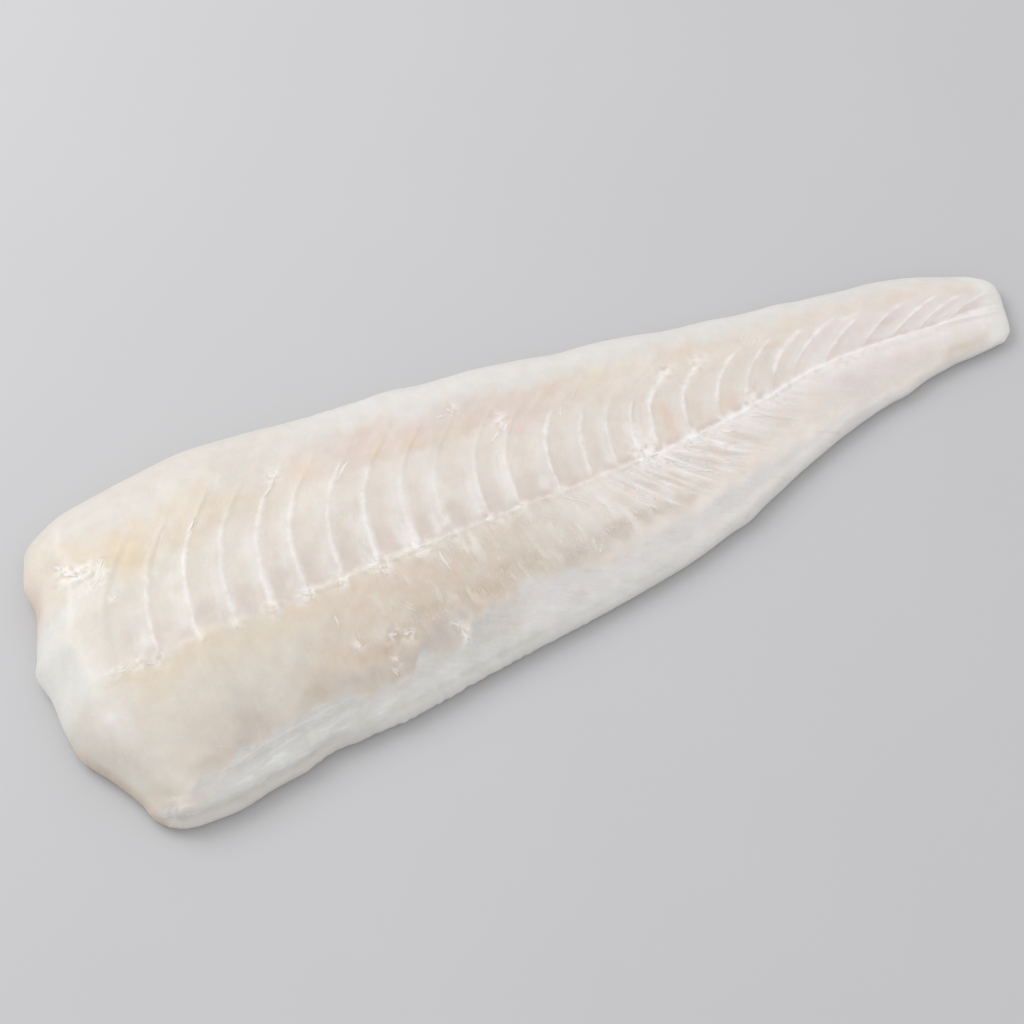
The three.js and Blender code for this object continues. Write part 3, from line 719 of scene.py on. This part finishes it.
torn = sum(strong * bell(np.hypot(x - at, out - off), size) for at, off, size, strong in TORN_KNOTS)
torn = torn + 0.5 * bell(out + 0.6 - through(RIDGE_AT, x), 2.2) * between(x, 36, 50, 150, 200)
torn = (torn + 0.25 * bell(out, 1.6) * between(x, -130, -110, 36, 50)) * face_up
fibrous = (FIBROUS_AT_LEAST
           + 0.45 * between(belly, 0, 0.04, 0.45, 0.6) * between(x, -120, -50, 95, 140)
           + 0.5 * between(belly, 0, 0.03, 0.12, 0.24) * between(x, -66, -54, -16, 0)
           + 0.7 * between(belly, 0, 0.05, 0.3, 0.5) * between(x, 24, 40, 85, 110))
fibrous = fibrous * (1 - between(np.abs(across), 0.7, 0.9)) * face_up
silvery = between(through(LINING_EDGE, x) - frayed, 0, 0.04) * between(x, -206, -198) * face_up

fillet = mesh_piece("fillet", placed(points), [four_sided, three_sided], {
    "tint": painted(x, y, across, under), "wall_count": count, "block_length": block,
    "wall_line": line, "wall_half_width": half_width, "wall_haze": haze, "off_centre": out,
    "centre_line": centre_line, "fibrous": fibrous, "silvery": silvery,
    "torn": np.minimum(torn, 1)})


# The finish. The flesh is wet and a little translucent: light goes a few millimetres into it, and a
# thin film of water shines softly on it. Fine streaks run along its walls.
def new_finish(name):
    """A material, its node tree, and the place on the piece in metres."""
    material = bpy.data.materials.new(name)
    material.use_nodes = True
    place = material.node_tree.nodes.new("ShaderNodeTexCoord").outputs["Object"]
    return material, material.node_tree, place


def put(tree, socket, value):
    """Links another node's output to the socket, or sets the socket to a number or a colour."""
    if isinstance(value, bpy.types.NodeSocket):
        tree.links.new(value, socket)
    elif value is not None:
        socket.default_value = value


def add(tree, kind, *values, **settings):
    """A new node of the kind, with its settings and with its sockets' values in their order.
    Returns its first output."""
    new = tree.nodes.new("ShaderNode" + kind)
    for name, value in settings.items():
        setattr(new, name, value)
    for socket, value in zip(new.inputs, values):
        put(tree, socket, value)
    return new.outputs[0]


def maths(tree, operation, *values):
    """A Math node."""
    return add(tree, "Math", *values, operation=operation)


def times(tree, value, *others):
    """The product of all the values."""
    for other in others:
        value = maths(tree, "MULTIPLY", value, other)
    return value


def ramp(tree, value, start, full):
    """Rises from 0 where the value is start to 1 where it is full, as an even S."""
    return add(tree, "MapRange", value, start, full, 0, 1, interpolation_type="SMOOTHSTEP")


def spread(tree, value, low, high, at_low, at_high):
    """Goes in a straight line from one value at low to another at high, and no further."""
    return add(tree, "MapRange", value, low, high, at_low, at_high)


def blend(tree, share, colour, other):
    """The colour mixed with the other by share."""
    new = tree.nodes.new("ShaderNodeMix")
    new.data_type = "RGBA"
    for place, value in ((0, share), (6, colour), (7, other)):
        put(tree, new.inputs[place], value)
    return new.outputs[2]


def scaled(tree, colour, other):
    """The colour times another, channel by channel."""
    return add(tree, "VectorMath", colour, other, operation="MULTIPLY")


def carried(tree, name, output="Fac"):
    """What the mesh carries on its points under this name: a number, or a Color."""
    new = tree.nodes.new("ShaderNodeAttribute")
    new.attribute_name = name
    return new.outputs[output]


def noise(tree, place, size, detail=2, roughness=0.5):
    """Noise with spots of about this size in metres."""
    return add(tree, "TexNoise", place, None, 1 / size, detail, roughness)


def unsteady(tree, place, size, reach):
    """Noise that goes by half the reach to either side of 0."""
    return maths(tree, "MULTIPLY_ADD", noise(tree, place, size), reach, -reach / 2)


def shade(colour):
    """A daylight colour with full opacity, for a node's socket."""
    return (*daylight(colour), 1)


def set_surface(tree, values):
    """Gives the surface its values by the names of its sockets."""
    for name, value in values.items():
        put(tree, tree.nodes["Principled BSDF"].inputs[name], value)


# The colours of the fine marks in daylight, two shifts of the flesh's colour, and how strongly the
# wet flesh bends light.
FOOT_SHADE = (216, 204, 195)
COOLER, WARMER = (1.005, 1.012, 1.022, 1), (0.997, 0.988, 0.972, 1)
FIBRE_GAP_TAN_SHADE = (216, 202, 189)
FIBRE_CREAM = (238, 230, 221)
FIBRE_WHITE = (251, 246, 244)
SILVER_WHITE = (222, 223, 222)
SILVER_SHADE = (186, 186, 184)
HAZE_WHITE_AND_LIGHT = (236, 231, 227)
CENTRE_CREAM = (240, 232, 220)
WALL_WHITE = (247, 243, 240)
TAIL_WALL = (250, 242, 242)
TORN_CREAM_GLINT = (250, 247, 243)
TORN_GAP_SHADE = (190, 176, 160)
WET_IOR = 1.38

flesh, tree, spot = new_finish("wet_cod_flesh")
x_place = add(tree, "SeparateXYZ", spot)
off_centre_line, wall_haze, torn_here, fibrous_here, silvery_here = (
    carried(tree, name) for name in ("off_centre", "wall_haze", "torn", "fibrous", "silvery"))

# The walls' places waver a little. Past is the way from one wall to the next, from 0 to 1, and
# to_wall the millimetres to the nearest one. Streaks are noise drawn out along the walls.
BLOCK, STREAK_SHARE = 0.015, 0.00022
wavering = maths(tree, "ADD", unsteady(tree, spot, 0.012, 0.16), unsteady(tree, spot, 0.0022, 0.05))
walls = maths(tree, "ADD", carried(tree, "wall_count"), wavering)
past = maths(tree, "FRACT", walls)
to_wall = times(tree, maths(tree, "PINGPONG", walls, 0.5), carried(tree, "block_length"))
along_wall = add(tree, "CombineXYZ", times(tree, walls, BLOCK),
                 times(tree, off_centre_line, STREAK_SHARE), 0)
streaks = noise(tree, along_wall, 0.004, 3, 0.55)
fine_streaks = noise(tree, along_wall, 0.0016, 3, 0.6)

# Each wall is a soft band with a whiter core, of uneven width and whiteness.
unevenly = maths(tree, "MULTIPLY_ADD", noise(tree, spot, 0.005), 1.5, 0.4)
half_width = times(tree, unevenly, carried(tree, "wall_half_width"))
nearness = maths(tree, "SUBTRACT", 1, maths(tree, "DIVIDE", to_wall, half_width))
patchy = spread(tree, noise(tree, spot, 0.005, 4, 0.6), 0.38, 0.6, 0.3, 1)
band = times(tree, ramp(tree, nearness, -0.35, 0.5), 0.48)
core = times(tree, ramp(tree, nearness, 0.4, 0.7), 0.45)
wall_ink = times(tree, maths(tree, "ADD", band, core), carried(tree, "wall_line"), patchy)

# A broad white haze stands before each wall and, towards the head, past it too: partly pale tissue,
# partly painted light on the block's face that rises to the wall and turns towards the lamp.
headward = ramp(tree, x_place, -0.03, -0.06)
before = ramp(tree, past, 0.4, 0.8)
after = times(tree, ramp(tree, past, 0.14, 0), headward)
glow_side = maths(tree, "MAXIMUM", headward, ramp(tree, past, 0.4, 0.6))
glow = times(tree, ramp(tree, to_wall, 3.4, 0.8), glow_side)
haze_and_light_ink = maths(tree, "MAXIMUM", maths(tree, "MAXIMUM", before, after), glow)
haze_and_light_ink = times(tree, haze_and_light_ink, wall_haze, ramp(tree, streaks, 0.2, 0.58),
                 spread(tree, noise(tree, spot, 0.01, 3), 0.35, 0.6, 0.5, 1.1))

# The centre line is a thin, wavering line of cream, and each block is shaded at its foot on it.
to_centre = maths(tree, "ADD", maths(tree, "ABSOLUTE", off_centre_line),
                  unsteady(tree, spot, 0.006, 1.6))
centre_ink = times(tree, ramp(tree, to_centre, 0.8, 0.1), carried(tree, "centre_line"), patchy)
foot_shade = times(tree, ramp(tree, past, 0.75, 0.12), wall_haze,
                   ramp(tree, off_centre_line, 24, 3), ramp(tree, off_centre_line, -1.5, 0.5), 0.5)
colour = blend(tree, foot_shade, carried(tree, "tint", "Color"), shade(FOOT_SHADE))

# The flesh is mottled, a little cooler here and warmer there.
warmth = ramp(tree, noise(tree, spot, 0.011, 3, 0.6), 0.32, 0.68)
colour = scaled(tree, colour, blend(tree, warmth, COOLER, WARMER))
colour = scaled(tree, colour, spread(tree, noise(tree, spot, 0.006, 4, 0.6), 0.3, 0.7, 0.97, 1.03))

# Fibres: white threads in patches, where the streaks are high or the fine ones cross their middle,
# with darker tan gaps between them: partly their own tan, partly painted shade between the threads.
off_middle = maths(tree, "ABSOLUTE", maths(tree, "SUBTRACT", fine_streaks, 0.5))
threads = maths(tree, "MAXIMUM", ramp(tree, streaks, 0.52, 0.62),
                ramp(tree, off_middle, 0.03, 0.008))
threads = times(tree, threads, fibrous_here, ramp(tree, noise(tree, spot, 0.01, 2), 0.35, 0.6))
fibre_gap_shade = times(tree, ramp(tree, streaks, 0.5, 0.38), fibrous_here, 0.4)
fibre_white = blend(tree, ramp(tree, x_place, -0.03, 0.03), shade(FIBRE_CREAM), shade(FIBRE_WHITE))
colour = blend(tree, fibre_gap_shade, colour, shade(FIBRE_GAP_TAN_SHADE))
colour = blend(tree, times(tree, threads, 0.9), colour, fibre_white)


def brushed_at(tree, place, degrees):
    """Noise drawn out into streaks that run at an angle to the fillet's length."""
    slant = tree.nodes.new("ShaderNodeMapping")
    slant.vector_type = "TEXTURE"
    put(tree, slant.inputs["Vector"], place)
    slant.inputs["Rotation"].default_value = (0, 0, math.radians(degrees))
    slant.inputs["Scale"].default_value = (6, 1, 1)
    return noise(tree, slant.outputs[0], 0.0028, 5, 0.7)


# The lining's silver is brushed along the belly edge towards the head, and aslant from there on.
# Its sheen is painted: white gleams and darker dull streaks along the brushing. It is also rubbed
# pale in patches.
aslant = ramp(tree, x_place, -0.11, -0.07)
brushed = spread(tree, aslant, 0, 1, brushed_at(tree, spot, 11), brushed_at(tree, spot, -24))
painted_gleam = times(tree, ramp(tree, brushed, 0.5, 0.62), silvery_here,
              spread(tree, x_place, -0.15, -0.06, 0.5, 0.2))
painted_dull = times(tree, ramp(tree, brushed, 0.48, 0.34), silvery_here, 0.2)
rubbed = times(tree, ramp(tree, noise(tree, spot, 0.009, 4, 0.65), 0.4, 0.7), silvery_here, 0.25)
colour = blend(tree, painted_gleam, colour, shade(SILVER_WHITE))
colour = blend(tree, painted_dull, colour, shade(SILVER_SHADE))
colour = blend(tree, rubbed, colour, shade(SILVER_WHITE))

# The haze's white, partly painted light.
colour = blend(tree, haze_and_light_ink, colour, shade(HAZE_WHITE_AND_LIGHT))
colour = blend(tree, centre_ink, colour, shade(CENTRE_CREAM))
wall_white = blend(tree, ramp(tree, x_place, 0.05, 0.15), shade(WALL_WHITE), shade(TAIL_WALL))
colour = blend(tree, wall_ink, colour, wall_white)

# Knots of torn fibre are lumpy and creamy white, partly painted highlight on their wet tops, with
# painted shade in the small dark gaps between the lumps.
lumps = noise(tree, spot, 0.003, 1, 0.4)
torn_ink = times(tree, ramp(tree, lumps, 0.4, 0.62), torn_here)
torn_gap_shade = times(tree, ramp(tree, lumps, 0.4, 0.28), torn_here, 0.35)
colour = blend(tree, torn_gap_shade, colour, shade(TORN_GAP_SHADE))
colour = blend(tree, times(tree, torn_ink, 0.85), colour, shade(TORN_CREAM_GLINT))

# The film of water is smoother here and there and on torn flesh, and the marks stand out a little.
wet = spread(tree, noise(tree, spot, 0.014, 3), 0.35, 0.65, 0.3, 0.46)
grain = maths(tree, "MULTIPLY_ADD", threads, 0.8, noise(tree, spot, 0.0022, 3))
grain = maths(tree, "ADD", grain, times(tree, brushed, silvery_here))
grain = maths(tree, "MULTIPLY_ADD", wall_ink, 0.6, grain)
grain = maths(tree, "MULTIPLY_ADD", torn_ink, 1.1, grain)
bump = tree.nodes.new("ShaderNodeBump")
put(tree, bump.inputs["Height"], grain)
bump.inputs["Strength"].default_value = 0.5
bump.inputs["Distance"].default_value = 0.0003
set_surface(tree, {
    "Base Color": colour, "Roughness": maths(tree, "MULTIPLY_ADD", torn_here, -0.12, wet),
    "Normal": bump.outputs[0], "IOR": WET_IOR, "Subsurface Weight": 0.25,
    "Subsurface Radius": (1, 0.6, 0.4), "Subsurface Scale": 0.003, "Coat Weight": 0.15,
    "Coat Roughness": 0.12})

fillet.data.materials.append(flesh)
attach(fillet, "root")
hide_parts("cod_fillet")


# The torn fibres. Where the knife and the pulled bones tore the flesh, ends of fibre and of white
# wall stand on the cut face: knots along the centre line, threads at the walls' upper ends and a
# fringe on the belly side. Each is a tapered thread of flattened section, half sunk in the face.
# The sways, the waver and a short thread's length are millimetres. The section is in half
# thicknesses, and what is covered, thin, thick or strays is a share of the bundle's own.
THREAD_STEPS = 7
THREAD_SECTION = [(1, -0.12), (0.6, 0.1), (0, 0.16), (-0.6, 0.1), (-1, -0.12), (0, -0.4)]
THREAD_SHOWS = [0.1, 0.75, 0.9, 0.75, 0.1, 0]
THREAD_WHITE = (243, 237, 231)
THREAD_ROSE = (238, 227, 220)
COVERS_LEAST, COVERS_MOST = 0.4, 0.8
THIN, THICK = 0.4, 0.9
STRAYS, ACROSS_TO_MM = 0.7, 50
BUNDLE_SWAY, THREAD_SWAY, WAVER = 1.2, 0.3, 0.15
SHORT_THREAD = 12
TIP, TAPER, TINT_SHARE = 0.02, 0.6, 0.95
SLOPE_ALONG, SLOPE_ACROSS = 0.4, 0.008

# Bundles: from and to, each as the place along and across, then how many threads are added to the
# first, how far they stray and how thick they are in millimetres.
WHITE_BUNDLES = [
    (-211, 0.68, -206, 0.62, 2, 0.8, 1.8), (-207, 0.61, -200, 0.54, 4, 1.4, 2.8),
    (-198, 0.44, -187, 0.57, 4, 1.6, 1.8), (-190, 0.34, -188, 0.37, 1, 0.3, 1.6),
    (-154, 0.46, -145, 0.56, 2, 0.5, 1.4), (-118, 0.51, -108, 0.61, 3, 0.8, 1.4),
    (-112, 0.66, -108, 0.61, 2, 0.6, 1.4), (-86, 0.47, -76, 0.58, 2, 0.6, 1.3),
    (-29, 0.69, -26, 0.66, 2, 0.5, 2.0), (-17, 0.4, -8, 0.47, 2, 0.6, 1.3),
    (-9, 0.46, -4, 0.53, 3, 0.8, 1.6), (17, 0.45, 20, 0.52, 2, 0.6, 1.5),
    (-87, 0.02, -81, -0.02, 4, 1.6, 1.8), (-82, 0.06, -83, -0.03, 2, 1.0, 1.8),
    (-80, -0.04, -78, -0.1, 2, 1.0, 1.4), (-67, 0.02, -58, -0.02, 4, 1.6, 1.7),
    (-64, 0.06, -62, -0.04, 2, 1.2, 1.7), (-117, 0.02, -111, -0.02, 3, 1.2, 1.5),
    (-101, 0.0, -97, -0.03, 2, 0.8, 1.4), (41, 0.08, 46, 0.0, 3, 0.8, 1.6),
    (45, 0.03, 54, -0.01, 2, 0.8, 1.6), (-86, -0.47, -82, -0.48, 1, 0.4, 2.0),
    (-82, -0.49, -75, -0.52, 1, 0.4, 1.8), (-101, -0.46, -98, -0.45, 1, 0.5, 2.2),
    (-88, -0.6, -86, -0.65, 2, 0.6, 1.5), (-60, -0.56, -57, -0.62, 2, 0.8, 1.4),
    (-57, -0.61, -55, -0.73, 2, 0.6, 1.5), (12, -0.52, 12, -0.57, 1, 0.5, 2.0),
    (-106, -0.18, -105, -0.31, 2, 0.8, 1.2), (-55, -0.06, -52, -0.27, 2, 0.8, 1.3),
    (4, -0.02, 15, -0.21, 1, 0.4, 1.3), (26, -0.05, 34, -0.24, 1, 0.5, 1.3),
    (33, -0.22, 46, -0.5, 1, 0.6, 1.1), (47, -0.03, 58, -0.17, 3, 1.2, 1.6),
    (57, -0.15, 68, -0.36, 3, 1.5, 1.5), (66, -0.3, 74, -0.44, 2, 1.4, 1.2),
    (63, -0.04, 74, -0.22, 2, 0.8, 1.3), (74, -0.22, 84, -0.42, 2, 1.0, 1.1),
    (81, -0.02, 90, -0.17, 2, 1.0, 1.3), (96, -0.02, 104, -0.15, 3, 1.2, 1.5),
    (104, -0.15, 110, -0.28, 2, 1.0, 1.2)]
ROSE_BUNDLES = [
    (-166, 0.5, -159, 0.57, 2, 0.8, 1.1), (-36, 0.65, -30, 0.67, 1, 0.5, 1.3),
    (-24, 0.63, -21, 0.6, 1, 0.5, 1.2), (26, 0.55, 30, 0.61, 1, 0.5, 1.3),
    (109, 0.6, 112, 0.65, 2, 0.7, 1.4), (112, 0.5, 118, 0.6, 2, 0.8, 1.5),
    (-199, 0.0, -191, 0.03, 2, 1.0, 1.3), (-187, -0.01, -180, -0.04, 2, 0.8, 1.3),
    (-79, -0.26, -72, -0.41, 3, 1.6, 1.1), (-98, -0.3, -99, -0.42, 1, 0.8, 1.0),
    (-90, -0.64, -87, -0.74, 2, 0.8, 1.2), (-181, -0.5, -154, -0.76, 0, 0.2, 0.7)]


def of_bundles(bundles, draw):
    """The threads of bundles, one a row: the place along and across of both ends, the sway to one
    side and the thickness. Each thread covers a part of its bundle's length, strays to a side of
    the bundle's line, and sways much as the others do."""
    threads = np.repeat(np.arange(len(bundles)), [bundle[4] + 1 for bundle in bundles])
    row = np.array(bundles, float)[threads]
    first, whole = row[:, :2], row[:, 2:4] - row[:, :2]
    covers = draw.uniform(COVERS_LEAST, COVERS_MOST, (len(row), 1))
    start = first + draw.uniform(0, 1, (len(row), 1)) * (1 - covers) * whole
    strayed = draw.uniform(-STRAYS, STRAYS, (len(row), 2)) * row[:, 5:6] / [1, ACROSS_TO_MM]
    sway = (draw.uniform(-BUNDLE_SWAY, BUNDLE_SWAY, len(bundles))[threads]
            + draw.uniform(-THREAD_SWAY, THREAD_SWAY, len(row)))
    thickness = row[:, 6] * draw.uniform(THIN, THICK, len(row))
    return np.column_stack([start + strayed, start + covers * whole + strayed, sway, thickness])


def unit(vectors):
    """Vectors made one long."""
    return vectors / np.linalg.norm(vectors, axis=-1, keepdims=True)


draw = np.random.default_rng(21)
white, rose = of_bundles(WHITE_BUNDLES, draw), of_bundles(ROSE_BUNDLES, draw)
own_colour = np.repeat(daylight([THREAD_WHITE, THREAD_ROSE]), [len(white), len(rose)], 0)
threads = np.concatenate([white, rose])
start_x, start_across, end_x, end_across, sway, thickness = threads.T[:, :, None]

# Every thread's spine runs from its first end to its other on the face, swayed to one side.
t = np.linspace(0, 1, THREAD_STEPS)
arch = np.sin(np.pi * t)
sway = sway * arch + WAVER * draw.uniform(-1, 1, (len(sway), THREAD_STEPS))
x = start_x + (end_x - start_x) * t
across = start_across + (end_across - start_across) * t
half = width_to(across, x)
run = np.concatenate([end_x - start_x, (end_across - start_across) * half[:, :1]], 1)
length = np.linalg.norm(run, axis=1, keepdims=True)
ahead = run / length
sway = sway * np.minimum(length / SHORT_THREAD, 1)
x = x - ahead[:, 1:] * sway
across = across + ahead[:, :1] * sway / half
spine = on_face(x, across)

# The section is carried along the spine, tapering to both ends, and its colour runs into the
# flesh's there.
slope_along = on_face(x + SLOPE_ALONG, across) - on_face(x - SLOPE_ALONG, across)
slope_across = on_face(x, across + SLOPE_ACROSS) - on_face(x, across - SLOPE_ACROSS)
out_of_face = unit(np.cross(slope_along, slope_across))
side = unit(np.cross(np.gradient(spine, axis=1), out_of_face))
radius = thickness / 2 * np.sin(np.pi * (TIP + (1 - 2 * TIP) * t)) ** TAPER
to_side, to_out = np.array(THREAD_SECTION).T[:, :, None]
section = to_side * side[:, :, None] + to_out * out_of_face[:, :, None]
skins = spine[:, :, None] + radius[:, :, None, None] * section
local = painted(x, spine[..., 1], across, np.zeros(x.shape))[:, :, None]
share = (TINT_SHARE * arch ** TAPER)[:, None, None] * np.array(THREAD_SHOWS)[:, None]
thread_tint = local + share * (own_colour[:, None, None] - local)

numbers = np.arange(skins[..., 0].size).reshape(skins.shape[:3])
beside = np.roll(numbers, -1, 2)
sides = quads(numbers[:, :-1], numbers[:, 1:], beside[:, 1:], beside[:, :-1])
ends = [numbers[:, 0], numbers[:, -1, ::-1]]
fibres = mesh_piece("torn_fibres", placed(skins.reshape(-1, 3)), [sides, *ends],
                    {"tint": thread_tint.reshape(-1, 3)})

fibre, tree, spot = new_finish("torn_fibre")
paleness = spread(tree, noise(tree, spot, 0.003), 0.3, 0.7, 0.96, 1.03)
set_surface(tree, {"Base Color": scaled(tree, carried(tree, "tint", "Color"), paleness),
                   "Roughness": 0.32, "IOR": WET_IOR})
fibres.data.materials.append(fibre)
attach(fibres, "root")


# The floor: a wide sheet of pale grey matt card, which lies under the fillet just clear of it.
FLOOR_HALF, FLOOR_DROP = 3, 0.0003
CARD_GREY, CARD_PALE = (201, 201, 203), (202, 202, 204)

corners = np.array([(-1, -1, 0), (1, -1, 0), (1, 1, 0), (-1, 1, 0)]) * FLOOR_HALF
floor = mesh_piece("floor", corners + [0, 0, low[2] - FLOOR_DROP], [np.array([[0, 1, 2, 3]])], {})
card, tree, spot = new_finish("pale_grey_card")
tone = spread(tree, noise(tree, spot, 0.1, 3), 0.3, 0.7, 0, 1)
set_surface(tree, {"Base Color": blend(tree, tone, shade(CARD_GREY), shade(CARD_PALE)),
                   "Roughness": 0.7, "Specular IOR Level": 0.2})
floor.data.materials.append(card)


# The light and the camera. A large soft lamp stands high behind the fillet, on its head's side, in
# an even pale room. The camera has a long lens and looks down at the fillet from the belly side,
# turned to lay it slantwise across the frame. Sizes are metres unless a name says otherwise.
LAMP_ACROSS, LAMP_AWAY, LAMP_ELEVATION, LAMP_POWER = 0.91, 1.3, 46, 6.75
LAMP_SIDEWAYS = 60
ROOM_LIGHT = 0.76
CAMERA_TURN, CAMERA_ELEVATION, CAMERA_AWAY = -20.6, 60, 1.05915
AIMED_AT_MM = (-14.2, 10.9, 0)
LENS_MM, SENSOR_MM = 85, 36


def looking(turn, elevation):
    """The right, up and back directions of a view turned about the vertical and raised by two
    angles."""
    turn, raised = math.radians(turn), math.radians(elevation)
    right = np.array([math.cos(turn), math.sin(turn), 0])
    away = np.array([-math.sin(turn), math.cos(turn), 0])
    top = np.array([0, 0, 1])
    up = away * math.sin(raised) + top * math.cos(raised)
    return right, up, top * math.sin(raised) - away * math.cos(raised)


def aimed(data, name, turn, elevation, distance, target):
    """An object that looks at the target from a distance along its view's back direction."""
    right, up, back = looking(turn, elevation)
    thing = bpy.data.objects.new(name, data)
    matrix = Matrix(np.stack([right, up, back], 1).tolist()).to_4x4()
    matrix.translation = target + back * distance
    thing.matrix_world = matrix
    bpy.context.scene.collection.objects.link(thing)
    return thing


target = placed(np.array(AIMED_AT_MM))
lamp = bpy.data.lights.new("lamp", "AREA")
lamp.size = LAMP_ACROSS
lamp.energy = LAMP_POWER
aimed(lamp, "lamp", CAMERA_TURN + 180 + LAMP_SIDEWAYS, LAMP_ELEVATION, LAMP_AWAY, target)

room = bpy.data.worlds.new("room")
room.use_nodes = True
background = room.node_tree.nodes["Background"]
background.inputs["Color"].default_value = (1, 1, 1, 1)
background.inputs["Strength"].default_value = ROOM_LIGHT
bpy.context.scene.world = room

lens = bpy.data.cameras.new("camera")
lens.lens = LENS_MM
lens.sensor_width = SENSOR_MM
bpy.context.scene.camera = aimed(lens, "camera", CAMERA_TURN, CAMERA_ELEVATION, CAMERA_AWAY, target)
bpy.context.scene.view_settings.view_transform = "Standard"
